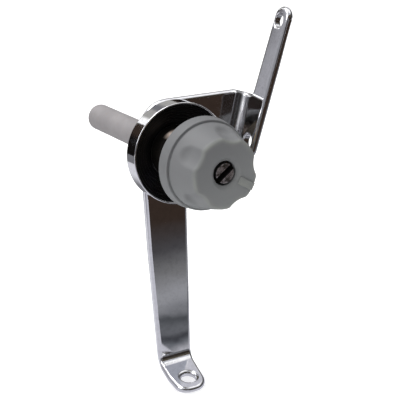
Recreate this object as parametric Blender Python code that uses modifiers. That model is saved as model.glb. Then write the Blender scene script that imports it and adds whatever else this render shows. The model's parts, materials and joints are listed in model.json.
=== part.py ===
"""A push-and-turn window lock on a folded bracket.

The knob is pushed in to throw the bolt, and a slotted plug in the knob, turned by its key, throws a pin
out of the bolt behind the barrel, which holds the bolt out.

Every piece is drawn in the lock's own axes: x to the right, y up and z along the bolt towards the user,
with z = 0 at the cup's rim. The empty lock_axis stands that drawing up, z towards -Y of the scene, and
puts the scene's origin on the flange's screw face, midway between its two holes.
"""

import math

import bmesh
import bpy
from mathutils import Matrix, Vector

MM = 0.001
GAP = 0.3 * MM  # between two pieces that touch, and round a pin in its hole

# Bracket: one folded sheet
SHEET = 2.8 * MM
SHEET_ROUND = 1.0 * MM
FOLD_R = 3.4 * MM  # inside the fold
LEG_LEFT = -11.5 * MM
LEG_WIDTH = 16.9 * MM
LEG_NECK = 13.3 * MM  # width just above the foot
NECK_IN = 1.5 * MM  # of the neck's right edge from the leg's
LEG_DROP = 80.0 * MM  # from the bolt's axis down to the foot's crease
PLATE_INSIDE_CUP = 0.05 * MM  # the plate's top, below the top of the cup
PLATE_CORNER_R = 11.0 * MM
FOOT_ANGLE = math.radians(76)
FOOT_X = -3.6 * MM  # of its hole
FOOT_MIDDLE = -4.3 * MM
FOOT_HOLE_OUT = 11.1 * MM  # from the crease
FOOT_BEYOND_HOLE = 6.8 * MM
FOOT_END_R = 5.6 * MM
FOOT_BULGE = 0.5 * MM  # of its left edge
FOOT_BULGE_R = 14.0 * MM
FOOT_HOLE_R = 2.6 * MM
FLANGE_LEAN = math.radians(16)
FLANGE_ANGLE = math.radians(90)
FLANGE_OUT = 24.6 * MM  # from the bolt's axis to the flange's inner face, square to it
FLANGE_BOTTOM = 2.1 * MM  # along the fold, from the foot of that square
FLANGE_TOP = 23.8 * MM
ARM_TIP = 56.3 * MM
ARM_FRONT = 12.15 * MM  # forward of the plate, at the foot of that square
ARM_FRONT_SLOPE = 0.1
ARM_BACK = 2.45 * MM
ARM_BACK_SLOPE = 0.1235
FLANGE_HOLE_R = 2.5 * MM
ARM_HOLE_FORWARD = 12.3 * MM  # of the plate
ARM_HOLE_FROM_TIP = 5.1 * MM
LOW_HOLE_FORWARD = 8.6 * MM
LOW_HOLE_FROM_END = 5.5 * MM

# Cup and liner
CUP_R = 18.05 * MM
CUP_WALL = 0.65 * MM
CUP_LENGTH = 6.7 * MM
CUP_FLOOR = 1.0 * MM
CUP_BACK_R = 0.9 * MM
LINER_LIP = 0.6 * MM  # below the cup's rim
LINER_LIP_WALL = 0.5 * MM

# Bolt, from the inside out
ROD_R = 5.0 * MM
ROD_REACH = 49.5 * MM  # behind the barrel
ROD_END_R = 1.5 * MM
CAM_R = 1.5 * MM
CAM_FLAT = 0.4 * MM  # from the axis
SPINDLE_WALL = 1.6 * MM
TRAVEL = 15.0 * MM
PIN_R = 1.1 * MM
PIN_NOSE_R = 0.5 * MM
PIN_THROW = 1.2 * MM
PIN_BEYOND = 1.9 * MM  # behind the barrel when the bolt is out
PIN_MARGIN = 0.9 * MM  # in front of the bush at rest
STOP_RING_PROUD = 2.0 * MM  # round the bolt
STOP_RING_THICK = 1.2 * MM
STOP_GROOVE = 0.6 * MM
BUFFER_THICK = 1.5 * MM

# Barrel and what clamps it
SLIDE_FIT = 0.25 * MM
BUSH_WALL = 1.35 * MM
BARREL_WALL = 1.1 * MM
BARREL_LIP = 1.0 * MM
BOSS_LEDGE = 1.2 * MM
BOSS_PROUD = 1.0 * MM  # in front of the cup's rim
SEAT_WASHER = 0.5 * MM
WIPER_LENGTH = 2.3 * MM
LOCK_WASHER = 1.4 * MM
LOCK_WASHER_WALL = 3.2 * MM
NUT_WALL = 2.7 * MM
NUT_THICK = 4.7 * MM
THREAD_PAST_NUT = 1.5 * MM

# Knob
SKIRT_CLEAR = 1.3 * MM  # round the skirt in the cup
SKIRT_ENTRY = 1.4 * MM  # below the rim when pushed
SKIRT_HEIGHT = 4.6 * MM
SKIRT_TAPER = 0.5 * MM
SKIRT_WALL = 1.5 * MM
KNOB_HEIGHT = 16.9 * MM
KNOB_LEDGE = 0.65 * MM
KNOB_TAPER = 2.95 * MM
KNOB_EDGE = 0.7 * MM
KNOB_FLOOR = 3.5 * MM
FLUTES = 5
FLUTE_START = math.radians(4)
FLUTE_DEPTH = 1.2 * MM
FLUTE_R = 9.0 * MM
FLUTE_TILT = math.radians(23)
RIB_TURN = math.radians(-32)
RIB_WIDTH = 2.6 * MM
RIB_HEIGHT = 0.6 * MM
RIB_ROUND = 0.4 * MM
KEYHOLE_MARGIN = 0.73 * MM
KEYHOLE_CHAMFER = 1.3 * MM
HUB_WALL = 1.25 * MM
HUB_LENGTH = 11.5 * MM

# Insert, plug and clips
INSERT_WALL = 1.3 * MM
COLLAR_LEDGE = 1.2 * MM
GRUB_R = 1.3 * MM
GRUB_SOCKET_R = 0.7 * MM
PLUG_R = 3.42 * MM
PLUG_SUNK = 0.8 * MM
PLUG_LENGTH = 8.4 * MM
PLUG_SLOT = 1.9 * MM
PLUG_SLOT_DEPTH = 3.0 * MM
PLUG_SLOT_TURN = math.radians(35)
O_RING_WIRE = 0.45 * MM
CLIP_THICK = 0.7 * MM
CLIP_OUT = 0.7 * MM
TAIL_DEPTH = 2.6 * MM

# Spring
WIRE = 1.2 * MM
SPRING_TURNS = 6.5
SPRING_SEAT_THICK = 0.6 * MM
SPRING_SEAT_CLEAR = 0.05 * MM  # inside the knob

# Radii that follow
CAM_BORE_R = CAM_R + GAP
SPINDLE_R = CAM_BORE_R + SPINDLE_WALL
INSERT_BORE_R = max(PLUG_R, SPINDLE_R) + GAP
INSERT_R = INSERT_BORE_R + INSERT_WALL
HUB_R = INSERT_R + GAP + HUB_WALL
COLLAR_R = INSERT_R + COLLAR_LEDGE
BUSH_R = ROD_R + SLIDE_FIT + BUSH_WALL
BARREL_BORE_R = max(BUSH_R, COLLAR_R) + GAP
THREAD_R = BARREL_BORE_R + BARREL_WALL
CLAMP_HOLE_R = THREAD_R + GAP
BOSS_R = THREAD_R + BOSS_LEDGE
CUP_BORE_R = CUP_R - CUP_WALL
SKIRT_R = CUP_BORE_R - SKIRT_CLEAR
BODY_R = SKIRT_R - SKIRT_TAPER - KNOB_LEDGE
FACE_R = BODY_R - KNOB_TAPER
KEYHOLE_R = PLUG_R + KEYHOLE_MARGIN
SPRING_R = (BARREL_BORE_R + BOSS_R) / 2
SPRING_SEAT_R = SPRING_R + WIRE
STOP_RING_R = ROD_R + STOP_RING_PROUD
PLATE_TOP = CUP_R - PLATE_INSIDE_CUP
ARM_HOLE = (ARM_HOLE_FORWARD, ARM_TIP - ARM_HOLE_FROM_TIP)  # forward of the plate, and along the fold
LOW_HOLE = (LOW_HOLE_FORWARD, FLANGE_BOTTOM + LOW_HOLE_FROM_END)

# Places along the axis that follow, from the back of the plate forwards
PLATE_FRONT = -(CUP_LENGTH + GAP)
PLATE_BACK = PLATE_FRONT - SHEET
LOCK_WASHER_FRONT = PLATE_BACK - GAP
NUT_FRONT = LOCK_WASHER_FRONT - LOCK_WASHER - GAP
BARREL_REAR = NUT_FRONT - NUT_THICK - THREAD_PAST_NUT
WIPER_REAR = BARREL_REAR + BARREL_LIP + GAP
BUSH_REAR = WIPER_REAR + WIPER_LENGTH + GAP
PIN_AT = BARREL_REAR - PIN_R - PIN_BEYOND + TRAVEL
BUSH_FRONT = PIN_AT - PIN_R - PIN_MARGIN
CUP_FLOOR_FRONT = CUP_FLOOR - CUP_LENGTH
SEAT_WASHER_FRONT = CUP_FLOOR_FRONT + GAP + SEAT_WASHER
BOSS_REAR = SEAT_WASHER_FRONT + GAP
BUFFER_FRONT = BARREL_REAR - GAP
STOP_RING_FRONT = BUFFER_FRONT - BUFFER_THICK - GAP
ROD_END = BARREL_REAR - ROD_REACH
SKIRT_REAR = TRAVEL - SKIRT_ENTRY
LEDGE_AT = SKIRT_REAR + SKIRT_HEIGHT
KNOB_FACE = SKIRT_REAR + KNOB_HEIGHT
KNOB_INNER = KNOB_FACE - KNOB_FLOOR
HUB_REAR = KNOB_INNER - HUB_LENGTH
COLLAR_REAR = BUSH_FRONT + TRAVEL + 1.0 * MM
PLUG_FACE = KNOB_FACE - PLUG_SUNK
PLUG_REAR = PLUG_FACE - PLUG_LENGTH
SPINDLE_FRONT = PLUG_REAR - 2 * GAP
INSERT_FRONT = KNOB_FACE - KNOB_FLOOR + 0.7 * MM
CLIP_REAR = PLUG_REAR + 2 * CLIP_THICK
O_RING_AT = PLUG_FACE - PLUG_SLOT_DEPTH - 2 * O_RING_WIRE

# The flange's fold: unit vectors along and across it, and where the flat sheet starts to bend
ALONG_FOLD = Vector((math.sin(FLANGE_LEAN), math.cos(FLANGE_LEAN), 0))
ACROSS_FOLD = Vector((math.cos(FLANGE_LEAN), -math.sin(FLANGE_LEAN), 0))
FOLD_MID_R = FOLD_R + SHEET / 2
FLANGE_START = FLANGE_OUT - FOLD_R
FOOT_START = -LEG_DROP + FOLD_R * math.tan(FOOT_ANGLE / 2)
LEG_SPLIT = -30.0 * MM  # above it only the flange bends, below it only the foot
FINE = 36
COARSE = 20


# ---- helpers ----------------------------------------------------------------------------------------


def clear_scene():
    for obj in list(bpy.data.objects):
        bpy.data.objects.remove(obj)


def new_collection(name):
    collection = bpy.data.collections.new(name)
    bpy.context.scene.collection.children.link(collection)
    return collection


def new_material(name, colour, roughness, metallic):
    material = bpy.data.materials.new(name)
    material.use_nodes = True
    shader = material.node_tree.nodes["Principled BSDF"]
    shader.inputs["Base Color"].default_value = (*colour, 1)
    shader.inputs["Roughness"].default_value = roughness
    shader.inputs["Metallic"].default_value = metallic
    return material


def new_object(name, data, material=None):
    """An object in the lock's axes; one without a material is a cutter."""
    obj = bpy.data.objects.new(name, data)
    obj.parent = LOCK_AXIS
    if material:
        PARTS.objects.link(obj)
        data.materials.append(material)
    else:
        CUTTERS.objects.link(obj)
        obj.hide_render = True
        obj.display_type = "WIRE"
    return obj


def shade(mesh, angle=30):
    mesh.shade_smooth()
    mesh.set_sharp_from_angle(angle=math.radians(angle))


def mesh_from(name, bm):
    mesh = bpy.data.meshes.new(name)
    bm.to_mesh(mesh)
    bm.free()
    return mesh


def turned(name, profile, material=None, steps=FINE, closed=True):
    """A profile of (radius, z) points, clockwise, turned round the z axis."""
    ends = list(range(1, len(profile))) + ([0] if closed else [])
    mesh = bpy.data.meshes.new(name)
    mesh.from_pydata([(r, 0, z) for r, z in profile], list(enumerate(ends)), [])
    obj = new_object(name, mesh, material)
    screw = obj.modifiers.new("Turn", "SCREW")
    screw.steps = steps
    screw.render_steps = steps
    screw.use_merge_vertices = True
    screw.merge_threshold = 1e-6
    screw.use_smooth_shade = False
    return obj


def ring(inner, outer, low, high, chamfer=0.2 * MM):
    """The section of a ring, with its outer corners chamfered."""
    return [
        (inner, high),
        (outer - chamfer, high),
        (outer, high - chamfer),
        (outer, low + chamfer),
        (outer - chamfer, low),
        (inner, low),
    ]


def arc(centre, radius, start, end, steps):
    """Points of an arc, angles in degrees."""
    turns = [math.radians(start + (end - start) * i / steps) for i in range(steps + 1)]
    return [(centre[0] + radius * math.cos(a), centre[1] + radius * math.sin(a)) for a in turns]


def cylinder(name, radius, low, high, material=None, steps=COARSE):
    bm = bmesh.new()
    bmesh.ops.create_cone(
        bm,
        cap_ends=True,
        segments=steps,
        radius1=radius,
        radius2=radius,
        depth=high - low,
        matrix=Matrix.Translation((0, 0, (low + high) / 2)),
    )
    return new_object(name, mesh_from(name, bm), material)


def block(name, low, high, material=None, round_=0.0):
    """A box between two corners, its edges rounded."""
    size = Vector(high) - Vector(low)
    middle = (Vector(high) + Vector(low)) / 2
    bm = bmesh.new()
    bmesh.ops.create_cube(bm, size=1, matrix=Matrix.LocRotScale(middle, None, size))
    if round_:
        bmesh.ops.bevel(bm, geom=bm.edges[:], offset=round_, segments=2, profile=0.5, affect="EDGES")
    return new_object(name, mesh_from(name, bm), material)


def boolean(obj, other, operation="DIFFERENCE"):
    modifier = obj.modifiers.new(other.name, "BOOLEAN")
    modifier.operation = operation
    modifier.solver = "EXACT"
    modifier.object = other


def rounded_outline(corners):
    """A closed outline from (point, radius) corners, each rounded by an arc tangent to its two sides."""
    outline = []
    for i, (corner, radius) in enumerate(corners):
        before = (corners[i - 1][0] - corner).normalized()
        after = (corners[(i + 1) % len(corners)][0] - corner).normalized()
        turn = math.pi - before.angle(after)
        if turn < 1e-4 or radius <= 0:
            outline.append(corner)
            continue
        back = radius * math.tan(turn / 2)
        middle = corner + (before + after).normalized() * (radius / math.cos(turn / 2))
        first = corner + before * back - middle
        last = corner + after * back - middle
        steps = max(1, round(turn / 0.3))
        for step in range(steps + 1):
            share = step / steps
            spread = first * math.sin((1 - share) * turn) + last * math.sin(share * turn)
            outline.append(middle + spread / math.sin(turn))
    return outline


# ---- bracket ----------------------------------------------------------------------------------------


def on_flange(forward, along):
    """The flat sheet's point that the fold takes to this place on the flange's inner face."""
    beyond = FOLD_MID_R * FLANGE_ANGLE + forward - FOLD_R
    return ALONG_FOLD * along + ACROSS_FOLD * (FLANGE_START + beyond)


def on_foot(x, out):
    """The flat sheet's point that the fold takes this far out from the foot's crease."""
    beyond = FOLD_MID_R * FOOT_ANGLE + out - FOLD_R * math.tan(FOOT_ANGLE / 2)
    return Vector((x, FOOT_START - beyond, 0))


def arm_front(along):
    return ARM_FRONT + ARM_FRONT_SLOPE * along


def arm_back(along):
    return ARM_BACK + ARM_BACK_SLOPE * along


def bracket_corners():
    """The blank's outline, counter-clockwise from the foot, with the radius of each corner."""
    leg_right = LEG_LEFT + LEG_WIDTH
    neck_right = leg_right - NECK_IN
    foot_end = FOOT_HOLE_OUT + FOOT_BEYOND_HOLE
    foot_left = FOOT_MIDDLE - FOOT_END_R
    tip_r = (arm_front(ARM_TIP) - arm_back(ARM_TIP)) * 0.49
    bend_top = ALONG_FOLD * (FLANGE_TOP + 0.3 * MM) + ACROSS_FOLD * FLANGE_START
    return [
        (on_foot(FOOT_MIDDLE + FOOT_END_R, foot_end), FOOT_END_R * 1.09),
        (Vector((neck_right, -LEG_DROP, 0)), 12 * MM),
        (Vector((leg_right, -CUP_R, 0)), 2.5 * MM),
        (ALONG_FOLD * FLANGE_BOTTOM + ACROSS_FOLD * (FLANGE_START - MM), 3 * MM),
        (on_flange(arm_front(FLANGE_BOTTOM), FLANGE_BOTTOM), 3 * MM),
        (on_flange(arm_front(ARM_TIP), ARM_TIP), tip_r),
        (on_flange(arm_back(ARM_TIP), ARM_TIP), tip_r),
        (on_flange(arm_back(FLANGE_TOP), FLANGE_TOP), 1.8 * MM),
        (on_flange(FOLD_R, FLANGE_TOP), 0),
        (bend_top, 0),
        (Vector((LEG_LEFT - 0.5 * MM, PLATE_TOP + 0.4 * MM, 0)), PLATE_CORNER_R),
        (Vector((LEG_LEFT + 0.4 * MM, -LEG_DROP * 0.45, 0)), 150 * MM),
        (Vector((neck_right - LEG_NECK, -LEG_DROP, 0)), 20 * MM),
        (on_foot(foot_left - FOOT_BULGE, FOOT_HOLE_OUT * 0.72), FOOT_BULGE_R),
        (on_foot(foot_left, foot_end), FOOT_END_R * 0.89),
    ]


def hole(centre, radius, steps):
    """A hole's outline, clockwise, so that its edge rounds into the hole."""
    turns = [-2 * math.pi * i / steps for i in range(steps)]
    return [centre + Vector((radius * math.cos(a), radius * math.sin(a), 0)) for a in turns]


def blank_outlines():
    return [
        rounded_outline(bracket_corners()),
        hole(on_foot(FOOT_X, FOOT_HOLE_OUT), FOOT_HOLE_R, COARSE),
        hole(on_flange(*ARM_HOLE), FLANGE_HOLE_R, COARSE),
        hole(on_flange(*LOW_HOLE), FLANGE_HOLE_R, COARSE),
        hole(Vector((0, 0, 0)), CLAMP_HOLE_R, FINE),
    ]


def flat_blank():
    """The unfolded sheet with rounded edges, its middle plane at z = 0."""
    curve = bpy.data.curves.new("blank", "CURVE")
    curve.dimensions = "2D"
    curve.fill_mode = "BOTH"
    curve.extrude = SHEET / 2 - SHEET_ROUND
    curve.bevel_depth = SHEET_ROUND
    curve.bevel_resolution = 1
    curve.offset = -SHEET_ROUND
    for outline in blank_outlines():
        spline = curve.splines.new("POLY")
        spline.use_cyclic_u = True
        spline.points.add(len(outline) - 1)
        for point, place in zip(spline.points, outline):
            point.co = (place.x, place.y, 0, 1)
    flat = bpy.data.objects.new("blank", curve)
    CUTTERS.objects.link(flat)
    graph = bpy.context.evaluated_depsgraph_get()
    mesh = bpy.data.meshes.new_from_object(flat.evaluated_get(graph))
    bpy.data.objects.remove(flat)
    bm = bmesh.new()
    bm.from_mesh(mesh)
    bpy.data.meshes.remove(mesh)
    caps = [f for f in bm.faces if abs(f.normal.z) > 0.999]
    bmesh.ops.delete(bm, geom=caps, context="FACES")
    bmesh.ops.remove_doubles(bm, verts=bm.verts[:], dist=1e-6)
    whole = [*bm.verts, *bm.edges, *bm.faces]
    bmesh.ops.bisect_plane(bm, geom=whole, plane_co=(0, 0, 0), plane_no=(0, 0, 1), clear_inner=True)
    front_rims = [e for e in bm.edges if e.is_boundary and e.verts[0].co.z > SHEET / 4]
    bmesh.ops.triangle_fill(bm, edges=front_rims, use_beauty=True, normal=(0, 0, 1))
    whole = [*bm.verts, *bm.edges, *bm.faces]
    bmesh.ops.mirror(bm, geom=whole, axis="Z", merge_dist=1e-6)
    return bm


def score(bm, keep, point, normal):
    """Cuts the sheet's faces along a line, so that it can bend there."""
    faces = [f for f in bm.faces if all(keep(v.co) for v in f.verts)]
    edges = {e for f in faces for e in f.edges}
    verts = {v for f in faces for v in f.verts}
    geometry = [*verts, *edges, *faces]
    bmesh.ops.bisect_plane(bm, geom=geometry, dist=1e-7, plane_co=point, plane_no=normal)


def folded(place, beyond, across, angle):
    """Where a point this far beyond a fold's start goes when the sheet there is turned forwards."""
    turn = min(beyond / FOLD_MID_R, angle)
    straight = max(beyond - FOLD_MID_R * angle, 0)
    level = place.z
    out = (FOLD_MID_R - level) * math.sin(turn) + straight * math.cos(turn)
    forward = FOLD_MID_R - (FOLD_MID_R - level) * math.cos(turn) + straight * math.sin(turn)
    flat = Vector((place.x, place.y, 0)) - across * beyond
    return flat + across * out + Vector((0, 0, forward))


def bracket(material):
    bm = flat_blank()
    slack = 1e-6
    score(bm, lambda v: True, (0, LEG_SPLIT, 0), (0, 1, 0))
    bends = 6
    for step in range(bends + 1):
        beyond = FOLD_MID_R * FLANGE_ANGLE * step / bends
        line = ACROSS_FOLD * (FLANGE_START + beyond)
        score(bm, lambda v: v.y > LEG_SPLIT - slack, line, ACROSS_FOLD)
        beyond = FOLD_MID_R * FOOT_ANGLE * step / bends
        score(bm, lambda v: v.y < LEG_SPLIT + slack, (0, FOOT_START - beyond, 0), (0, 1, 0))
    down = Vector((0, -1, 0))
    for vert in bm.verts:
        past_flange = vert.co.dot(ACROSS_FOLD) - FLANGE_START
        past_foot = FOOT_START - vert.co.y
        if vert.co.y > LEG_SPLIT and past_flange > 0:
            vert.co = folded(vert.co, past_flange, ACROSS_FOLD, FLANGE_ANGLE)
        elif past_foot > 0:
            vert.co = folded(vert.co, past_foot, down, FOOT_ANGLE)
        vert.co.z += PLATE_FRONT - SHEET / 2
    bmesh.ops.recalc_face_normals(bm, faces=bm.faces[:])
    mesh = mesh_from("mounting_bracket", bm)
    new_object("mounting_bracket", mesh, material)
    shade(mesh, 40)


# ---- cup, liner and barrel --------------------------------------------------------------------------


def bezel_cup(material):
    back = arc((CUP_R - CUP_BACK_R, -CUP_LENGTH + CUP_BACK_R), CUP_BACK_R, 0, -90, 4)
    rim = arc((CUP_R - CUP_WALL / 2, -CUP_WALL / 2), CUP_WALL / 2, 180, 0, 6)
    floor = [(CLAMP_HOLE_R, CUP_FLOOR_FRONT), (CUP_BORE_R, CUP_FLOOR_FRONT)]
    turned("bezel_cup", [*floor, *rim, *back, (CLAMP_HOLE_R, -CUP_LENGTH)], material, 48)


def cup_liner(material):
    """A lip inside the rim, then steps down to the boss that leave the pushed skirt its room."""
    inner = BOSS_R + GAP
    outer = CUP_BORE_R - GAP
    low = CUP_FLOOR_FRONT + GAP
    top = -SKIRT_ENTRY - 2 * GAP
    lip = outer - LINER_LIP_WALL
    drop = (top - low - 0.4 * MM) / 5
    tread = (lip - inner) / 6
    stairs = []
    for step in range(6):
        level = low + 0.4 * MM + drop * step
        start = inner + tread * step
        stairs += [(start, level), (start + tread - 0.2 * MM, level)]
    section = [*stairs, (lip, -LINER_LIP), (outer, -LINER_LIP), (outer, low), (inner, low)]
    turned("cup_liner", section, material, 36)


def seating_washer(material):
    low = CUP_FLOOR_FRONT + GAP
    turned("seating_washer", ring(CLAMP_HOLE_R, BOSS_R, low, SEAT_WASHER_FRONT, 0.1 * MM), material)


def barrel(material):
    chamfer = 0.4 * MM
    lead = 0.6 * MM
    lip_r = ROD_R + 2 * GAP
    section = [
        (BARREL_BORE_R + chamfer, BOSS_PROUD),
        (BOSS_R - chamfer, BOSS_PROUD),
        (BOSS_R, BOSS_PROUD - chamfer),
        (BOSS_R, BOSS_REAR),
        (THREAD_R, BOSS_REAR),
        (THREAD_R, BARREL_REAR + lead),
        (THREAD_R - lead, BARREL_REAR),
        (lip_r, BARREL_REAR),
        (lip_r, BARREL_REAR + BARREL_LIP),
        (BARREL_BORE_R, BARREL_REAR + BARREL_LIP),
        (BARREL_BORE_R, BOSS_PROUD - chamfer),
    ]
    turned("barrel", section, material)


def guide_bush(material):
    section = ring(ROD_R + SLIDE_FIT, BUSH_R, BUSH_REAR, BUSH_FRONT, 0.3 * MM)
    turned("guide_bush", section, material, 32)


def wiper_seal(material):
    """A rubber ring whose lip stands off its inner corner."""
    high = WIPER_REAR + WIPER_LENGTH
    lip = ROD_R + GAP
    groove = BUSH_R - BUSH_WALL * 0.4
    section = [
        (lip + BUSH_WALL * 0.3, high),
        (BUSH_R, high),
        (BUSH_R, WIPER_REAR),
        (groove, WIPER_REAR),
        (groove - 0.2 * MM, WIPER_REAR + WIPER_LENGTH * 0.5),
        (lip + 0.3 * MM, WIPER_REAR),
        (lip, WIPER_REAR),
    ]
    turned("wiper_seal", section, material, 32)


def lock_washer(material):
    outer = CLAMP_HOLE_R + LOCK_WASHER_WALL
    low = LOCK_WASHER_FRONT - LOCK_WASHER
    washer = turned("lock_washer", ring(CLAMP_HOLE_R, outer, low, LOCK_WASHER_FRONT), material)
    corner = (CLAMP_HOLE_R - MM, -0.8 * MM, low - MM)
    split = block("lock_washer_split", corner, (outer + MM, 0.8 * MM, LOCK_WASHER_FRONT + MM))
    split.rotation_euler.z = math.radians(215)
    boolean(washer, split)


def barrel_nut(material):
    across_corners = (CLAMP_HOLE_R + NUT_WALL) / math.cos(math.radians(30))
    low = NUT_FRONT - NUT_THICK
    nut = cylinder("barrel_nut", across_corners, low, NUT_FRONT, material, 6)
    boolean(nut, cylinder("barrel_nut_bore", CLAMP_HOLE_R, low - MM, NUT_FRONT + MM, steps=FINE))


# ---- bolt -------------------------------------------------------------------------------------------


def bolt_rod(material):
    """The bolt with its hollow spindle, the stop ring's groove and the locking pin's hole."""
    chamfer = 0.4 * MM
    bore_end = PIN_AT - PIN_R - 2 * GAP
    groove_r = ROD_R - STOP_GROOVE - GAP
    groove_front = STOP_RING_FRONT + GAP / 2
    groove_rear = STOP_RING_FRONT - STOP_RING_THICK - GAP / 2
    section = [
        (0, bore_end),
        (CAM_BORE_R, bore_end),
        (CAM_BORE_R, SPINDLE_FRONT),
        (SPINDLE_R - chamfer, SPINDLE_FRONT),
        (SPINDLE_R, SPINDLE_FRONT - chamfer),
        (SPINDLE_R, COLLAR_REAR - GAP),
        (ROD_R - chamfer, COLLAR_REAR - GAP),
        (ROD_R, COLLAR_REAR - GAP - chamfer),
        (ROD_R, groove_front),
        (groove_r, groove_front),
        (groove_r, groove_rear),
        (ROD_R, groove_rear),
        *arc((ROD_R - ROD_END_R, ROD_END + ROD_END_R), ROD_END_R, 0, -90, 5),
        (0, ROD_END),
    ]
    rod = turned("bolt_rod", section, material, FINE, closed=False)
    pin_hole = cylinder("bolt_pin_hole", PIN_R + GAP, 0, ROD_R + MM)
    stand_on_bolt(pin_hole)
    boolean(rod, pin_hole)


def stand_on_bolt(obj):
    """Turns a piece's own z axis to point up out of the bolt, where the locking pin is."""
    obj.location.z = PIN_AT
    obj.rotation_euler.x = math.radians(-90)


def locking_pin(material):
    low = CAM_FLAT + GAP
    shoulder = CAM_BORE_R + 0.1 * MM
    high = ROD_R - 0.1 * MM
    dome = 0.4 * MM
    section = [
        (0, high),
        (PIN_R - dome, high),
        (PIN_R, high - dome),
        (PIN_R, shoulder),
        (PIN_NOSE_R, shoulder),
        (PIN_NOSE_R, low),
        (0, low),
    ]
    stand_on_bolt(turned("locking_pin", section, material, COARSE, closed=False))


def cam_rod(material):
    """The plug's tail, with a flat that faces the locking pin at rest."""
    low = PIN_AT - PIN_R - GAP
    rod = cylinder("cam_rod", CAM_R, low, PLUG_REAR + TAIL_DEPTH - GAP, material)
    high = PIN_AT + PIN_R + MM
    flat = block("cam_flat", (-2 * CAM_R, CAM_FLAT, low - MM), (2 * CAM_R, 2 * CAM_R, high))
    boolean(rod, flat)


def open_ring(name, section, width, turn, material, steps=24):
    """A snap ring: a turned section with a gap cut across it."""
    snap = turned(name, section, material, steps)
    reach = max(r for r, z in section) + MM
    low = min(z for r, z in section) - MM
    high = max(z for r, z in section) + MM
    gap = block(name + "_gap", (0, -width / 2, low), (reach, width / 2, high))
    gap.rotation_euler.z = math.radians(turn)
    boolean(snap, gap)


def stop_ring(material):
    low = STOP_RING_FRONT - STOP_RING_THICK
    section = ring(ROD_R - STOP_GROOVE, STOP_RING_R, low, STOP_RING_FRONT, 0.1 * MM)
    open_ring("stop_ring", section, 4 * MM, 250, material)


def buffer_washer(material):
    low = BUFFER_FRONT - BUFFER_THICK
    section = ring(ROD_R + GAP, THREAD_R - 0.4 * MM, low, BUFFER_FRONT, 0.3 * MM)
    turned("buffer_washer", section, material, 32)


# ---- knob -------------------------------------------------------------------------------------------


def knob_section():
    """The knob from its keyhole over the face and the skirt, then back up inside to the hub."""
    wall = SKIRT_WALL
    inner_r = SPRING_SEAT_R + SPRING_SEAT_CLEAR
    foot_r = 0.3 * MM
    edge = arc((FACE_R - KNOB_EDGE, KNOB_FACE - KNOB_EDGE), KNOB_EDGE, 90, 10, 4)
    return [
        (KEYHOLE_R, KNOB_FACE - KEYHOLE_CHAMFER),
        (KEYHOLE_R + KEYHOLE_CHAMFER, KNOB_FACE),
        *edge,
        (BODY_R, LEDGE_AT + 0.3 * MM),
        (BODY_R + 0.1 * MM, LEDGE_AT),
        (SKIRT_R - SKIRT_TAPER - 0.2 * MM, LEDGE_AT),
        (SKIRT_R - SKIRT_TAPER, LEDGE_AT - 0.2 * MM),
        (SKIRT_R, SKIRT_REAR + foot_r),
        (SKIRT_R - foot_r, SKIRT_REAR),
        (SKIRT_R - wall, SKIRT_REAR),
        (SKIRT_R - SKIRT_TAPER - wall, LEDGE_AT - wall),
        (BODY_R - wall, LEDGE_AT),
        (inner_r, KNOB_INNER),
        (HUB_R, KNOB_INNER),
        (HUB_R, HUB_REAR),
        (INSERT_R + GAP, HUB_REAR),
        (INSERT_R + GAP, INSERT_FRONT + GAP),
        (KEYHOLE_R, INSERT_FRONT + GAP),
    ]


def flute_cutter(turn):
    """A round bar that leans into the knob's face and leaves its side further down."""
    across = Vector((math.cos(FLUTE_TILT), 0, math.sin(FLUTE_TILT)))
    bottom = Vector((FACE_R - FLUTE_DEPTH, 0, KNOB_FACE))
    reach = KNOB_HEIGHT
    bar = cylinder(f"flute_{round(math.degrees(turn))}", FLUTE_R, -reach, reach, steps=FINE)
    about = Matrix.Rotation(turn, 4, "Z")
    lean = Matrix.Rotation(-FLUTE_TILT, 4, "Y")
    bar.matrix_local = about @ Matrix.Translation(bottom + across * FLUTE_R) @ lean
    return bar


def knob(material):
    body = turned("knob", knob_section(), material, 60)
    for flute in range(FLUTES):
        boolean(body, flute_cutter(FLUTE_START + flute * 2 * math.pi / FLUTES))
    inner_end = KEYHOLE_R + KEYHOLE_CHAMFER
    half = RIB_WIDTH / 2
    low = (inner_end, -half, KNOB_FACE - RIB_HEIGHT)
    high = (FACE_R - KNOB_EDGE, half, KNOB_FACE + RIB_HEIGHT)
    rib = block("knob_rib", low, high, round_=RIB_ROUND)
    rib.rotation_euler.z = RIB_TURN
    boolean(body, rib, "UNION")


def hub_insert(material):
    """The brass insert: a sleeve in the hub, with a collar behind that takes the grub screw."""
    shoulder = HUB_REAR - GAP
    groove_r = INSERT_BORE_R + CLIP_OUT
    section = [
        (INSERT_BORE_R, INSERT_FRONT),
        (INSERT_R, INSERT_FRONT),
        (INSERT_R, shoulder),
        (COLLAR_R, shoulder),
        (COLLAR_R, COLLAR_REAR),
        (INSERT_BORE_R, COLLAR_REAR),
        (INSERT_BORE_R, CLIP_REAR - GAP),
        (groove_r, CLIP_REAR - GAP),
        (groove_r, CLIP_REAR + CLIP_THICK + GAP),
        (INSERT_BORE_R, CLIP_REAR + CLIP_THICK + GAP),
    ]
    insert = turned("hub_insert", section, material, 28)
    screw_hole = cylinder("grub_hole", GRUB_R + GAP, 0, COLLAR_R + MM)
    stand_on_collar(screw_hole)
    boolean(insert, screw_hole)


def stand_on_collar(obj):
    """Turns a piece's own z axis to point out of the middle of the insert's collar."""
    obj.location.z = (HUB_REAR - GAP + COLLAR_REAR) / 2
    obj.rotation_euler.y = math.radians(90)


def grub_screw(material):
    low = SPINDLE_R + GAP
    high = COLLAR_R - GAP
    screw = cylinder("grub_screw", GRUB_R, low, high, material)
    socket = cylinder("grub_socket", GRUB_SOCKET_R, (low + high) / 2, high + MM, steps=6)
    stand_on_collar(screw)
    stand_on_collar(socket)
    boolean(screw, socket)


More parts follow.
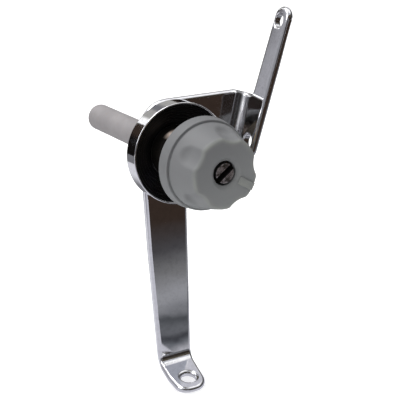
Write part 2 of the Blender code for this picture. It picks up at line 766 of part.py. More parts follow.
def key_plug(material):
    """The plug, grooved for its O-ring and clip, with a slot in front and the cam rod's socket behind."""
    chamfer = 0.3 * MM
    o_groove_r = PLUG_R - 2 * O_RING_WIRE - 0.1 * MM
    clip_groove_r = PLUG_R - CLIP_OUT
    socket_end = PLUG_REAR + TAIL_DEPTH
    o_half = O_RING_WIRE + 0.15 * MM
    section = [
        (0, PLUG_FACE),
        (PLUG_R - chamfer, PLUG_FACE),
        (PLUG_R, PLUG_FACE - chamfer),
        (PLUG_R, O_RING_AT + o_half),
        (o_groove_r, O_RING_AT + o_half),
        (o_groove_r, O_RING_AT - o_half),
        (PLUG_R, O_RING_AT - o_half),
        (PLUG_R, CLIP_REAR + CLIP_THICK + GAP / 2),
        (clip_groove_r, CLIP_REAR + CLIP_THICK + GAP / 2),
        (clip_groove_r, CLIP_REAR - GAP / 2),
        (PLUG_R, CLIP_REAR - GAP / 2),
        (PLUG_R, PLUG_REAR),
        (CAM_BORE_R, PLUG_REAR),
        (CAM_BORE_R, socket_end),
        (0, socket_end),
    ]
    plug = turned("key_plug", section, material, 32, closed=False)
    half = PLUG_SLOT / 2
    bottom = PLUG_FACE - PLUG_SLOT_DEPTH
    slot = block("key_slot", (-2 * PLUG_R, -half, bottom), (2 * PLUG_R, half, PLUG_FACE + MM))
    slot.rotation_euler.z = PLUG_SLOT_TURN
    boolean(plug, slot)


def plug_o_ring(material):
    centre = (PLUG_R - O_RING_WIRE + 0.15 * MM, O_RING_AT)
    turned("plug_o_ring", arc(centre, O_RING_WIRE, 180, -135, 7), material, 24)


def plug_clip(material):
    inner = PLUG_R - CLIP_OUT + 0.15 * MM
    outer = INSERT_BORE_R + CLIP_OUT - GAP
    section = ring(inner, outer, CLIP_REAR, CLIP_REAR + CLIP_THICK, 0.1 * MM)
    open_ring("plug_clip", section, 2.4 * MM, 70, material)


def spring_seat(material):
    high = KNOB_INNER - GAP
    section = ring(HUB_R + GAP, SPRING_SEAT_R, high - SPRING_SEAT_THICK, high, 0.1 * MM)
    turned("spring_seat", section, material, 32)


def return_spring(material):
    """A coil whose end turns lie nearly flat on the boss and on the spring seat."""
    low = BOSS_PROUD + GAP + WIRE / 2
    high = KNOB_INNER - 2 * GAP - SPRING_SEAT_THICK - WIRE / 2
    end_rise = WIRE + GAP
    per_turn = 16
    count = round(SPRING_TURNS * per_turn)
    curve = bpy.data.curves.new("return_spring", "CURVE")
    curve.dimensions = "3D"
    curve.bevel_depth = WIRE / 2
    curve.bevel_resolution = 2
    curve.use_fill_caps = True
    spline = curve.splines.new("POLY")
    spline.points.add(count)
    for i, point in enumerate(spline.points):
        turns = i / per_turn
        middle = (turns - 1) / (SPRING_TURNS - 2)
        if turns < 1:
            z = low + end_rise * turns
        elif turns > SPRING_TURNS - 1:
            z = high - end_rise * (SPRING_TURNS - turns)
        else:
            z = low + end_rise + (high - low - 2 * end_rise) * middle
        angle = 2 * math.pi * turns
        point.co = (SPRING_R * math.cos(angle), SPRING_R * math.sin(angle), z, 1)
    coil = new_object("return_spring", curve, material)
    graph = bpy.context.evaluated_depsgraph_get()
    mesh = bpy.data.meshes.new_from_object(coil.evaluated_get(graph))
    bpy.data.objects.remove(coil)
    bm = bmesh.new()
    bm.from_mesh(mesh)
    bmesh.ops.remove_doubles(bm, verts=bm.verts[:], dist=1e-6)
    new_object("return_spring", mesh_from("return_spring", bm), material)


# ---- assembly ---------------------------------------------------------------------------------------


def flange_pad():
    """The middle of the flange's outer face between its holes, in the lock's axes."""
    forward = (ARM_HOLE[0] + LOW_HOLE[0]) / 2
    along = (ARM_HOLE[1] + LOW_HOLE[1]) / 2
    face = ALONG_FOLD * along + ACROSS_FOLD * (FLANGE_OUT + SHEET)
    return face + Vector((0, 0, PLATE_FRONT + forward))


def stand_up(axis_empty):
    turn = Matrix.Rotation(math.radians(90), 4, "X")
    axis_empty.matrix_world = Matrix.Translation(-(turn @ flange_pad())) @ turn


clear_scene()
PARTS = new_collection("window_lock")
CUTTERS = new_collection("cutters")
LOCK_AXIS = bpy.data.objects.new("lock_axis", None)
PARTS.objects.link(LOCK_AXIS)
stand_up(LOCK_AXIS)

chrome = new_material("chrome", (0.78, 0.77, 0.78), 0.12, 1.0)
satin_steel = new_material("satin_steel", (0.55, 0.55, 0.55), 0.38, 1.0)
blacked_steel = new_material("blacked_steel", (0.03, 0.028, 0.026), 0.35, 0.8)
zinc_steel = new_material("zinc_steel", (0.6, 0.6, 0.58), 0.45, 1.0)
brass = new_material("brass", (0.7, 0.52, 0.22), 0.3, 1.0)
grey_plastic = new_material("grey_plastic", (0.16, 0.16, 0.17), 0.55, 0.0)
black_rubber = new_material("black_rubber", (0.012, 0.012, 0.013), 0.7, 0.0)
white_nylon = new_material("white_nylon", (0.75, 0.74, 0.7), 0.5, 0.0)

bracket(chrome)
bezel_cup(chrome)
cup_liner(black_rubber)
seating_washer(black_rubber)
barrel(blacked_steel)
guide_bush(white_nylon)
wiper_seal(black_rubber)
lock_washer(zinc_steel)
barrel_nut(zinc_steel)
bolt_rod(satin_steel)
locking_pin(satin_steel)
cam_rod(satin_steel)
stop_ring(zinc_steel)
buffer_washer(black_rubber)
knob(grey_plastic)
hub_insert(brass)
grub_screw(zinc_steel)
key_plug(satin_steel)
plug_o_ring(black_rubber)
plug_clip(zinc_steel)
spring_seat(zinc_steel)
return_spring(zinc_steel)
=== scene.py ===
"""A keyed push-and-turn window lock, with a finish for each of its pieces.

The pieces are drawn in the lock's own axes: x to the right, y up and z along the bolt towards the user,
with z = 0 at the cup's rim. lock_axes() stands them up in the frame.
"""

import json
import math

import bmesh
import bpy
from bpy.props import FloatProperty, FloatVectorProperty, IntProperty, PointerProperty
from mathutils import Matrix, Vector


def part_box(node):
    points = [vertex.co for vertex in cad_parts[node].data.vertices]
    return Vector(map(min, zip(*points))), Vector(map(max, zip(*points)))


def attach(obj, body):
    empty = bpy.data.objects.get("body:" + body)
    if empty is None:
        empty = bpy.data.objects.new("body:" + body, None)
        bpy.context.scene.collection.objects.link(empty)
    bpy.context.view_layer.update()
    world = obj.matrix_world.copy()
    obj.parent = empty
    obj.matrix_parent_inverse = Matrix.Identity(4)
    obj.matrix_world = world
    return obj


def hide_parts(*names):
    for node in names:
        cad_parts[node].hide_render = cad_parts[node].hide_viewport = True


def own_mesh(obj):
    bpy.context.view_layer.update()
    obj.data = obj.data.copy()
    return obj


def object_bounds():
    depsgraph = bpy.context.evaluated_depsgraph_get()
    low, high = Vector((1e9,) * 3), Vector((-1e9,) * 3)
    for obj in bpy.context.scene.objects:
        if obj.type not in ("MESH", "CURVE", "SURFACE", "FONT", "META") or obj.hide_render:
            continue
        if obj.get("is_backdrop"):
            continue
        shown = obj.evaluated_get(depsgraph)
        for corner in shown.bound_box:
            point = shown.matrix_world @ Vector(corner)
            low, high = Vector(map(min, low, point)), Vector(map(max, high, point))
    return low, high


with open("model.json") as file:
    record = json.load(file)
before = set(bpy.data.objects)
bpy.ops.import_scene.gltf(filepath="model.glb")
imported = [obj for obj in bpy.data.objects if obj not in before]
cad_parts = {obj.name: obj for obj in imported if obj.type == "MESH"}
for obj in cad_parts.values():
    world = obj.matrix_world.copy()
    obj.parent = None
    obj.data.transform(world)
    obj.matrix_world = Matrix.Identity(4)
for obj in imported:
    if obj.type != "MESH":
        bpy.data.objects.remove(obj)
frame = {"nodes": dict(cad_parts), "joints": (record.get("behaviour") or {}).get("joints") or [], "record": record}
CAD_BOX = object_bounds()

bl_info = {
    "name": "Window Lock",
    "version": (1, 0, 0),
    "blender": (4, 5, 0),
    "location": "View3D > Sidebar > Window Lock",
    "description": "Builds a push-and-turn window lock, its finishes and a plain studio",
    "category": "Object",
}

MM = 0.001
GAP = 0.3 * MM
STEP_ANGLE = 0.12
X_AXIS = Vector((1, 0, 0))
Z_AXIS = Vector((0, 0, 1))


# ---- places read from the frame ---------------------------------------------------------------------


def joint(name):
    """One of the frame's joints."""
    return next(j for j in frame["joints"] if j["name"] == name)


SLOTS = {part["node"]: part["material_slot"] for part in frame["record"]["subparts"]}
BODIES = {node: body for body, nodes in frame["record"]["behaviour"]["bodies"].items() for node in nodes}
AXIS = Vector(joint("knob_turn")["pos_m"])
RIM_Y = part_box("bezel_cup")[0][1]


def lock_axes():
    """The matrix from the lock's own axes to the frame."""
    return Matrix.Translation((AXIS.x, RIM_Y, AXIS.z)) @ Matrix.Rotation(math.radians(90), 4, "X")


def front(node):
    """A node's end nearest the user, along the lock's z axis."""
    return RIM_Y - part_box(node)[0][1]


def rear(node):
    """A node's end away from the user."""
    return RIM_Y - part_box(node)[1][1]


def radius(node):
    """Half a round node's width, square to the bolt."""
    low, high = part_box(node)
    return (high[0] - low[0]) / 2


def clamp_hole():
    """The radius of the hole that the barrel's thread passes through, in the cup and the bracket."""
    return radius("barrel") - 0.9 * MM


def barrel_bore():
    """The radius of the hole through the barrel, within its thread's wall."""
    return clamp_hole() - GAP - 1.1 * MM


# ---- small sums -------------------------------------------------------------------------------------


def clamped(value):
    return min(max(value, 0.0), 1.0)


def near(value, middle, reach):
    """1 at the middle, falling evenly to 0 at the reach on either side."""
    return max(0.0, 1 - abs(value - middle) / reach)


# ---- sizes and colours ------------------------------------------------------------------------------


def length(name, text, size):
    return FloatProperty(name=name, description=text, default=size, subtype="DISTANCE", unit="LENGTH")


def angle(name, text, degrees):
    return FloatProperty(name=name, description=text, default=math.radians(degrees), subtype="ANGLE")


def colour(name, text, value):
    return FloatVectorProperty(
        name=name, description=text, default=value, size=3, min=0, max=1, subtype="COLOR"
    )


def share(name, text, value):
    return FloatProperty(name=name, description=text, default=value, min=0, max=1, subtype="FACTOR")


class BracketSizes(bpy.types.PropertyGroup):
    sheet: length("Sheet", "Thickness of the folded sheet", 2.8 * MM)
    edge: length("Edge rounding", "Radius of the sheet's tumbled edges", 1.34 * MM)
    fold: length("Fold radius", "Inside radius of both folds", 3.4 * MM)
    leg_left: length("Leg left", "Left edge of the leg at the top", -11.5 * MM)
    leg_width: length("Leg width", "Width of the leg at the top", 16.9 * MM)
    leg_neck: length("Leg neck", "Width of the leg just above the foot", 13.3 * MM)
    leg_drop: length("Leg drop", "From the bolt's axis down to the foot's crease", 80.0 * MM)
    plate_top: length("Plate top", "Height of the plate above the bolt's axis", 18.0 * MM)
    plate_corner: length("Plate corner", "Radius of the plate's corner behind the cup", 11.0 * MM)
    foot_angle: angle("Foot angle", "How far the foot is folded forwards", 76)
    foot_x: length("Foot hole across", "Sideways place of the foot's hole", -3.6 * MM)
    foot_middle: length("Foot middle", "Sideways place of the foot's middle", -4.3 * MM)
    foot_hole_out: length("Foot hole", "From the crease to the hole's centre", 11.1 * MM)
    foot_beyond: length("Foot beyond hole", "From the hole's centre to the foot's end", 6.8 * MM)
    foot_end: length("Foot end", "Radius of the foot's round end", 5.6 * MM)
    foot_hole: length("Foot hole radius", "Radius of the foot's screw hole", 2.6 * MM)
    flange_lean: angle("Flange lean", "How far the flange's fold leans to the right", 16)
    flange_out: length("Flange out", "From the bolt's axis square to the flange's inner face", 24.6 * MM)
    flange_bottom: length("Flange bottom", "Low end of the flange, along the fold", 2.1 * MM)
    flange_top: length("Flange top", "Where the flange narrows to the arm, along the fold", 23.8 * MM)
    arm_tip: length("Arm tip", "Top of the arm, along the fold", 56.3 * MM)
    arm_front: length("Arm front", "Front edge's height above the plate, at the axis", 12.15 * MM)
    arm_back: length("Arm back", "Back edge's height above the plate, at the axis", 2.45 * MM)
    flange_hole: length("Flange hole radius", "Radius of the flange's screw holes", 2.5 * MM)


class CupSizes(bpy.types.PropertyGroup):
    wall: length("Wall", "Thickness of the pressed cup", 0.65 * MM)
    floor: length("Floor", "Thickness of the cup's floor", 1.0 * MM)
    back: length("Back corner", "Radius of the cup's rear corner", 0.9 * MM)
    liner_lip: length("Liner lip", "Width of the liner's lip inside the rim", 0.5 * MM)


class KnobSizes(bpy.types.PropertyGroup):
    taper: length("Taper", "How much narrower the face is than the body", 2.95 * MM)
    edge: length("Edge", "Radius of the face's edge", 1.0 * MM)
    flutes: IntProperty(name="Flutes", description="Number of finger flutes", default=5, min=3, max=9)
    flute_start: angle("Flute start", "Direction of the first flute", 4)
    flute_depth: length("Flute depth", "Depth of a flute at the face", 1.2 * MM)
    flute_radius: length("Flute radius", "Radius of the bar that a flute is shaped like", 9.0 * MM)
    flute_tilt: angle("Flute tilt", "Lean of the flutes against the axis", 14)
    flute_length: length("Flute length", "From the face back to a flute's round end", 5.2 * MM)
    rib_turn: angle("Pointer turn", "Direction of the raised pointer", -32)
    rib_width: length("Pointer width", "Width of the raised pointer", 2.6 * MM)
    rib_height: length("Pointer height", "Height of the raised pointer", 0.6 * MM)
    slot_turn: angle("Slot turn", "Direction of the plug's slot", 35)
    slot_width: length("Slot width", "Width of the plug's slot", 1.9 * MM)
    slot_depth: length("Slot depth", "Depth of the plug's slot", 3.0 * MM)


class Finishes(bpy.types.PropertyGroup):
    chrome: colour("Chrome", "Colour of the bright plating", (0.80, 0.80, 0.82))
    steel: colour("Steel", "Colour of the bolt and the small steel pieces", (0.325, 0.309, 0.314))
    zinc: colour("Zinc", "Colour of the zinc plating", (0.55, 0.55, 0.53))
    brass: colour("Brass", "Colour of the insert", (0.66, 0.47, 0.2))
    knob: colour("Knob", "Colour of the grey plastic", (0.168, 0.171, 0.177))
    rubber: colour("Rubber", "Colour of the black rubber", (0.002, 0.002, 0.002))
    nylon: colour("Nylon", "Colour of the nylon pieces", (0.72, 0.71, 0.66))
    chrome_roughness: share("Chrome roughness", "Roughness of the bright plating", 0.06)


# ---- shader maths -----------------------------------------------------------------------------------


class Signal:
    """A shader socket; sums and products of signals and numbers add Math nodes."""

    def __init__(self, nodes, socket):
        self.nodes = nodes
        self.socket = socket

    def maths(self, operation, *values):
        return self.nodes.add("ShaderNodeMath", {"operation": operation}, dict(enumerate(values)))

    def __add__(self, other):
        return self.maths("ADD", self, other)

    def __sub__(self, other):
        return self.maths("SUBTRACT", self, other)

    def __rsub__(self, other):
        return self.maths("SUBTRACT", other, self)

    def __mul__(self, other):
        return self.maths("MULTIPLY", self, other)

    __radd__ = __add__
    __rmul__ = __mul__


class Nodes:
    """A material's node tree."""

    def __init__(self, tree):
        self.tree = tree

    def add(self, kind, settings=None, inputs=None, output=0):
        """Adds a node, with its settings first, then its inputs, and returns one output."""
        node = self.tree.nodes.new(kind)
        for name, value in (settings or {}).items():
            if name == "stops":
                self.set_stops(node.color_ramp, value)
            else:
                setattr(node, name, value)
        for name, value in (inputs or {}).items():
            self.feed(node.inputs[name], value)
        return Signal(self, node.outputs[output]) if len(node.outputs) else None

    def feed(self, socket, value):
        if isinstance(value, Signal):
            self.tree.links.new(value.socket, socket)
        else:
            socket.default_value = value

    def set_stops(self, ramp, stops):
        while len(ramp.elements) > 1:
            ramp.elements.remove(ramp.elements[-1])
        ramp.elements[0].position, ramp.elements[0].color = stops[0][0], (*stops[0][1], 1)
        for place, tone in stops[1:]:
            ramp.elements.new(place).color = (*tone, 1)

    def seen(self):
        """1 for rays from the camera and from bright metal or glass, else 0."""
        kinds = ("Is Camera Ray", "Is Glossy Ray", "Is Transmission Ray")
        camera, glossy, through = (self.add("ShaderNodeLightPath", output=kind) for kind in kinds)
        return camera.maths("MAXIMUM", camera.maths("MAXIMUM", camera, glossy), through)

    def place(self):
        """Where a point is on its piece, in metres."""
        return self.add("ShaderNodeTexCoord", output="Object")

    def marked(self, name):
        """What the mesh stores for a point under a name, from 0 to 1."""
        return self.add("ShaderNodeAttribute", {"attribute_name": name}, output="Fac")

    def noise(self, vector, scale, detail=2.0, roughness=0.5):
        inputs = {"Vector": vector, "Scale": scale, "Detail": detail, "Roughness": roughness}
        return self.add("ShaderNodeTexNoise", {}, inputs)

    def clouds(self, scale, detail, roughness=0.5):
        """Noise that stays on the piece."""
        return self.noise(self.place(), scale, detail, roughness)

    def patches(self, low, high, scale, detail, roughness=0.5):
        """Clouds as patches with soft edges: 0 below low, 1 above high."""
        return self.between(self.clouds(scale, detail, roughness), low, high)

    def streaks(self, scale, detail, roughness=0.5):
        """Noise with a scale for each direction, so that it is drawn out along the smallest."""
        drawn = self.add("ShaderNodeMapping", {}, {"Vector": self.place(), "Scale": scale})
        return self.noise(drawn, 1, detail, roughness)

    def ramp(self, signal, stops):
        return self.add("ShaderNodeValToRGB", {"stops": stops}, {"Fac": signal})

    def between(self, signal, low, high):
        """0 below low, 1 above high."""
        inputs = {"Value": signal, "From Min": low, "From Max": high}
        return self.add("ShaderNodeMapRange", {"interpolation_type": "SMOOTHSTEP"}, inputs)

    def mix(self, part, first, second):
        inputs = {0: part, 6: first, 7: second}
        return self.add("ShaderNodeMix", {"data_type": "RGBA"}, inputs, 2)

    def bump(self, height, distance, strength=1.0):
        inputs = {"Height": height, "Distance": distance, "Strength": strength}
        return self.add("ShaderNodeBump", {}, inputs)


def tinted(tone, red, green, blue):
    return (tone[0] * red, tone[1] * green, tone[2] * blue, 1)


def rgba(tone, factor=1.0):
    return tinted(tone, factor, factor, factor)


def new_material(name, metallic=0.0):
    """A material, its nodes and its Principled shader."""
    material = bpy.data.materials.new(name)
    material.use_nodes = True
    shader = material.node_tree.nodes["Principled BSDF"]
    shader.inputs["Metallic"].default_value = metallic
    return material, Nodes(material.node_tree), shader


def finish(nodes, shader, **values):
    """Feeds the shader's sockets, named with underscores for spaces."""
    for name, value in values.items():
        nodes.feed(shader.inputs[name.replace("_", " ")], value)


# ---- materials --------------------------------------------------------------------------------------


def chrome(looks):
    """Thin plating over polished sheet: faint waves, a mottled handling haze and a few fine specks.

    Where the sheet is folded, the plating is rougher, and its colour darkens there as painted shade, most in the
    first third of the flange's fold.
    """
    material, nodes, shader = new_material("bright_chrome", 1.0)
    haze = nodes.patches(0.45, 0.75, 90, 4)
    mottle = nodes.patches(0.42, 0.66, 520, 3, 0.65)
    speck = nodes.patches(0.78, 0.84, 900, 2)
    waves = nodes.clouds(55, 1)
    bent = nodes.marked("bent")
    tone = nodes.mix(mottle * 0.6, rgba(looks.chrome), rgba(looks.chrome, 0.88))
    tone = nodes.mix(speck * 0.4, tone, rgba(looks.chrome, 0.55))
    # painted shade: the flange's fold darkens to a third of the chrome's colour, most in the first third of the
    # fold
    tone = nodes.mix(nodes.between(bent, 0.5, 1.0), tone, rgba(looks.chrome, 0.3))
    rough = looks.chrome_roughness + 0.03 * haze + 0.2 * bent
    finish(nodes, shader, Base_Color=tone, Roughness=rough, Normal=nodes.bump(waves, 0.06 * MM, 0.35))
    return material


def blasted_steel(looks):
    """The bolt: bead-blasted and passivated, so that it shows hardly any reflection."""
    material, nodes, shader = new_material("blasted_steel", 0.3)
    clouds = nodes.patches(0.35, 0.7, 90, 4)
    grain = nodes.clouds(3200, 2)
    rubs = nodes.between(nodes.streaks((260, 40, 260), 4, 0.6), 0.55, 0.8)
    stain = nodes.patches(0.52, 0.72, 420, 4, 0.65)
    brown_stain = (0.30, 0.265, 0.245, 1)
    tone = nodes.mix(clouds, rgba(looks.steel, 0.92), rgba(looks.steel, 1.06))
    tone = nodes.mix(rubs * 0.3, tone, rgba(looks.steel, 1.25))
    tone = nodes.mix(stain * 0.35, tone, brown_stain)
    rough = 0.6 + 0.12 * grain - 0.1 * rubs
    finish(nodes, shader, Base_Color=tone, Roughness=rough, Normal=nodes.bump(grain, 0.02 * MM, 0.6))
    finish(nodes, shader, Specular_IOR_Level=0.3)
    return material


def spring_wire(looks):
    """Oil-tempered wire: dark, with a little light along its top."""
    material, nodes, shader = new_material("spring_wire", 1.0)
    clouds = nodes.clouds(400, 3)
    oiled, pale_steel = (0.32, 0.27, 0.24, 1), (0.55, 0.48, 0.43, 1)
    finish(nodes, shader, Base_Color=nodes.mix(clouds, oiled, pale_steel), Roughness=0.26 + 0.2 * clouds)
    return material


def blacked_steel(looks):
    """The barrel: oil-blacked, a little browner in patches, and with a painted highlight: a pale glint in a pale
    steel colour on one side of its boss.
    """
    material, nodes, shader = new_material("blacked_steel")
    clouds = nodes.clouds(240, 4)
    lines = nodes.streaks((60, 3600, 60), 3, 0.6)
    blacked, handled, pale_steel = (0.004, 0.0037, 0.0035, 1), (0.014, 0.012, 0.010, 1), (0.80, 0.66, 0.57, 1)
    tone = nodes.mix(clouds, blacked, handled)
    # painted highlight: a pale glint where the mesh marks it
    tone = nodes.mix(nodes.marked("worn") * (0.6 + 0.8 * clouds), tone, pale_steel)
    rough = 0.55 + 0.2 * lines
    finish(nodes, shader, Base_Color=tone, Roughness=rough, Normal=nodes.bump(lines, 0.01 * MM, 0.4))
    finish(nodes, shader, Specular_IOR_Level=0.05)
    return material


def zinc_plate(looks):
    """Dull plating with a faint blue and straw cast."""
    material, nodes, shader = new_material("zinc_plate", 1.0)
    grain = nodes.clouds(2600, 2)
    blue, straw = tinted(looks.zinc, 0.93, 0.97, 1.08), tinted(looks.zinc, 1.08, 1.04, 0.88)
    tone = nodes.mix(nodes.patches(0.35, 0.65, 160, 4), blue, straw)
    rough = 0.36 + 0.16 * grain
    finish(nodes, shader, Base_Color=tone, Roughness=rough, Normal=nodes.bump(grain, 0.01 * MM, 0.4))
    return material


def turned_brass(looks):
    """The insert: fine turning lines, tarnish in patches, and painted shade that blackens its front end in the
    keyhole.
    """
    material, nodes, shader = new_material("turned_brass", 1.0)
    lines = nodes.streaks((60, 60, 3800), 3, 0.6)
    tarnish = nodes.patches(0.5, 0.75, 220, 4)
    ahead = nodes.add("ShaderNodeSeparateXYZ", {}, {"Vector": nodes.place()}, "Y")
    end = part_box("hub_insert")[0][1]
    # painted shade: the front end, sunk in the keyhole, turns black and dull
    front_shade = nodes.between(ahead, end + 0.8 * MM, end + 0.2 * MM)
    tone = nodes.mix(tarnish * 0.6, rgba(looks.brass), rgba(looks.brass, 0.55))
    tone = nodes.mix(front_shade, tone, (0.006, 0.005, 0.004, 1))
    rough = 0.26 + 0.14 * lines + 0.15 * tarnish + 0.3 * front_shade
    finish(nodes, shader, Base_Color=tone, Roughness=rough, Metallic=1 - 0.9 * front_shade)
    return material


def moulded_plastic(looks):
    """Matte grey plastic: fine grain, cloudy colour, painted light that makes its lower right lighter, paler marks
    along the face's edge, a painted highlight low in the keyhole's bowl and painted shade in the dishes.
    """
    material, nodes, shader = new_material("moulded_grey_plastic")
    grain = nodes.clouds(2400, 3, 0.65)
    rubs = nodes.between(nodes.streaks((180, 900, 180), 3), 0.62, 0.8)
    patchy = nodes.patches(0.3, 0.7, 160, 3)
    # painted light: three quarters of the tone follows a gradient across the knob, darker at its upper left and
    # lighter at its lower right
    lit_side = {0: nodes.place(), 1: (0.45, -0.9, 0)}
    lit_side = nodes.add("ShaderNodeVectorMath", {"operation": "DOT_PRODUCT"}, lit_side, 1)
    painted_darker, painted_lighter = rgba(looks.knob, 0.92), tinted(looks.knob, 1.34, 1.3668, 1.3266)
    tone = nodes.mix(nodes.clouds(70, 3), rgba(looks.knob, 0.95), rgba(looks.knob, 1.05))
    tone = nodes.mix(rubs * 0.35, tone, rgba(looks.knob, 1.25))
    tone = nodes.mix(0.75, tone, nodes.mix(nodes.between(lit_side, -14 * MM, 13 * MM), painted_darker, painted_lighter))
    pale_and_glint = tinted(looks.knob, 1.5, 1.54, 1.36)
    # paler along the face's edge and the pointer's top, and a painted highlight low in the bowl
    tone = nodes.mix(nodes.marked("worn") * (0.35 + 0.45 * patchy), tone, pale_and_glint)
    # painted shade: darker in the flutes' dishes, most towards their rear ends
    tone = nodes.mix(nodes.marked("grimy") * 0.75, tone, rgba(looks.knob, 0.62))
    rough = 0.5 + 0.12 * grain - 0.08 * rubs
    finish(nodes, shader, Base_Color=tone, Roughness=rough, Normal=nodes.bump(grain, 0.03 * MM, 0.5))
    finish(nodes, shader, Specular_IOR_Level=0.45)
    return material


def black_rubber(looks):
    """Moulded rubber: black, with a faint sheen along its steps and a dusty bloom."""
    material, nodes, shader = new_material("black_rubber")
    grain = nodes.clouds(1800, 3)
    bloom = nodes.patches(0.55, 0.8, 150, 4)
    dusty = (0.009, 0.008, 0.008, 1)
    tone = nodes.mix(bloom * 0.4, rgba(looks.rubber), dusty)
    rough = 0.24 + 0.14 * grain + 0.1 * bloom
    finish(nodes, shader, Base_Color=tone, Roughness=rough, Normal=nodes.bump(grain, 0.01 * MM, 0.3))
    finish(nodes, shader, Specular_IOR_Level=0.35)
    return material


def nylon(looks):
    """Natural nylon, with a cloudy colour."""
    material, nodes, shader = new_material("natural_nylon")
    clouds = nodes.clouds(300, 3)
    tone = nodes.mix(clouds, rgba(looks.nylon, 0.92), rgba(looks.nylon, 1.05))
    finish(nodes, shader, Base_Color=tone, Roughness=0.4 + 0.15 * clouds)
    return material


def worn_plug_steel(looks):
    """The plug's face: grey-brown steel, scored by keys along its slot."""
    material, nodes, shader = new_material("worn_plug_steel", 1.0)
    scores = nodes.streaks((500, 2600, 500), 4, 0.7)
    wear = nodes.between(nodes.clouds(700, 3, 0.6) + 0.35 * scores, 0.52, 0.78)
    tone = nodes.mix(wear, (0.20, 0.185, 0.17, 1), rgba(looks.steel, 3.1))
    rough = 0.28 + 0.3 * scores
    finish(nodes, shader, Base_Color=tone, Roughness=rough, Normal=nodes.bump(scores, 0.08 * MM, 0.9))
    return material


def worn_plug_side(looks):
    """The plug's slot and sides, black as painted shade in the slot and round the plug."""
    material, nodes, shader = new_material("worn_plug_side")
    patches = nodes.clouds(900, 3)
    tone = nodes.mix(patches, (0.002, 0.002, 0.002, 1), (0.012, 0.01, 0.008, 1))
    finish(nodes, shader, Base_Color=tone, Roughness=0.45 + 0.2 * patches)
    return material


MATERIALS = {
    "chrome": chrome,
    "satin_steel": blasted_steel,
    "spring_wire": spring_wire,
    "blacked_steel": blacked_steel,
    "worn_plug_side": worn_plug_side,
    "zinc_steel": zinc_plate,
    "brass": turned_brass,
    "grey_plastic": moulded_plastic,
    "black_rubber": black_rubber,
    "white_nylon": nylon,
    "worn_plug_steel": worn_plug_steel,
}


def material_for(slot):
    """The one material of a slot, made the first time that it is asked for."""
    for material in bpy.data.materials:
        if material.get("lock_slot") == slot:
            return material
    material = MATERIALS[slot](bpy.context.scene.lock_finishes)
    material["lock_slot"] = slot
    return material


# ---- mesh helpers -----------------------------------------------------------------------------------


def linked(name, data):
    """A new object in the scene."""
    obj = bpy.data.objects.new(name, data)
    bpy.context.scene.collection.objects.link(obj)
    return obj


def mesh_of(obj):
    """The mesh of an object with its modifiers or bevel worked out; the object is used up."""
    bpy.context.view_layer.update()
    graph = bpy.context.evaluated_depsgraph_get()
    mesh = bpy.data.meshes.new_from_object(obj.evaluated_get(graph))
    bpy.data.objects.remove(obj)
    return mesh


def curve_mesh(name, points, closed, **settings):
    """The mesh of a curve through points, with settings such as its bevel."""
    curve = bpy.data.curves.new(name, "CURVE")
    for key, value in settings.items():
        setattr(curve, key, value)
    spline = curve.splines.new("POLY")
    spline.use_cyclic_u = closed
    spline.points.add(len(points) - 1)
    for point, place in zip(spline.points, points):
        point.co = (*place, 1)
    return mesh_of(linked(name, curve))


def shade(mesh, degrees=35):
    mesh.shade_smooth()
    mesh.set_sharp_from_angle(angle=math.radians(degrees))


def mark(mesh, name, amount):
    """Stores for each point a value, such as how pale or how shaded it is painted, which its material reads under
    the name.
    """
    marks = mesh.attributes.new(name, "FLOAT", "POINT")
    for vert, stored in zip(mesh.vertices, marks.data):
        stored.value = amount(vert.co)


def new_piece(name, mesh, slot, body, replaced=(), placed=None, look=None):
    """A piece in the lock's axes that rides on a body, in a slot's finish, and stands for CAD nodes."""
    piece = linked(name, mesh)
    piece.matrix_world = lock_axes() @ (placed or Matrix.Identity(4))
    mesh.materials.append(material_for(look or slot))
    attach(piece, body)
    if replaced:
        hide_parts(*replaced)
    return piece


def stand_for(node, mesh, placed=None, look=None, name=None):
    """A fine mesh in place of a CAD node, on that node's body and in its finish."""
    return new_piece(name or "fine_" + node, mesh, SLOTS[node], BODIES[node], [node], placed, look)


def mesh_from(name, bm, degrees=35):
    """A smooth mesh, sharp where its faces turn by more than the degrees; the bmesh is used up."""
    bmesh.ops.recalc_face_normals(bm, faces=bm.faces[:])
    mesh = bpy.data.meshes.new(name)
    bm.to_mesh(mesh)
    bm.free()
    shade(mesh, degrees)
    return mesh


def arc(centre, size, start, end, steps):
    """Points of an arc in a section, from one direction to another, in degrees."""
    turns = [math.radians(start + (end - start) * i / steps) for i in range(steps + 1)]
    return [(centre[0] + size * math.cos(a), centre[1] + size * math.sin(a)) for a in turns]


def ring(size, z, count):
    """Points round the axis, whose radius is a number or a function of the direction."""
    points = []
    for i in range(count):
        turn = 2 * math.pi * i / count
        r = size(turn) if callable(size) else size
        points.append((r * math.cos(turn), r * math.sin(turn), z))
    return points


def surface(name, rows, closed=True, degrees=35):
    """A mesh through rows of points, each row a loop, and closed from the last row to the first."""
    bm = bmesh.new()
    loops = [[bm.verts.new(point) for point in row] for row in rows]
    pairs = list(zip(loops, loops[1:])) + ([(loops[-1], loops[0])] if closed else [])
    for first, second in pairs:
        count = max(len(first), len(second))
        for i in range(count):
            j = (i + 1) % count
            places = ((first, i), (first, j), (second, j), (second, i))
            corners = list(dict.fromkeys(loop[k % len(loop)] for loop, k in places))
            if len(corners) > 2:
                bm.faces.new(corners)
    return mesh_from(name, bm, degrees)


def supported(section, closed):
    """The section with a point close to both ends of each long side, so that its shading stays even."""
    close = 0.04 * MM
    points = [Vector(point) for point in section]
    result = []
    for i, point in enumerate(points):
        result.append(tuple(point))
        if i + 1 == len(points) and not closed:
            break
        side = points[(i + 1) % len(points)] - point
        if side.length > 10 * close:
            step = side.normalized() * close
            result += [tuple(point + step), tuple(point + side - step)]
    return result


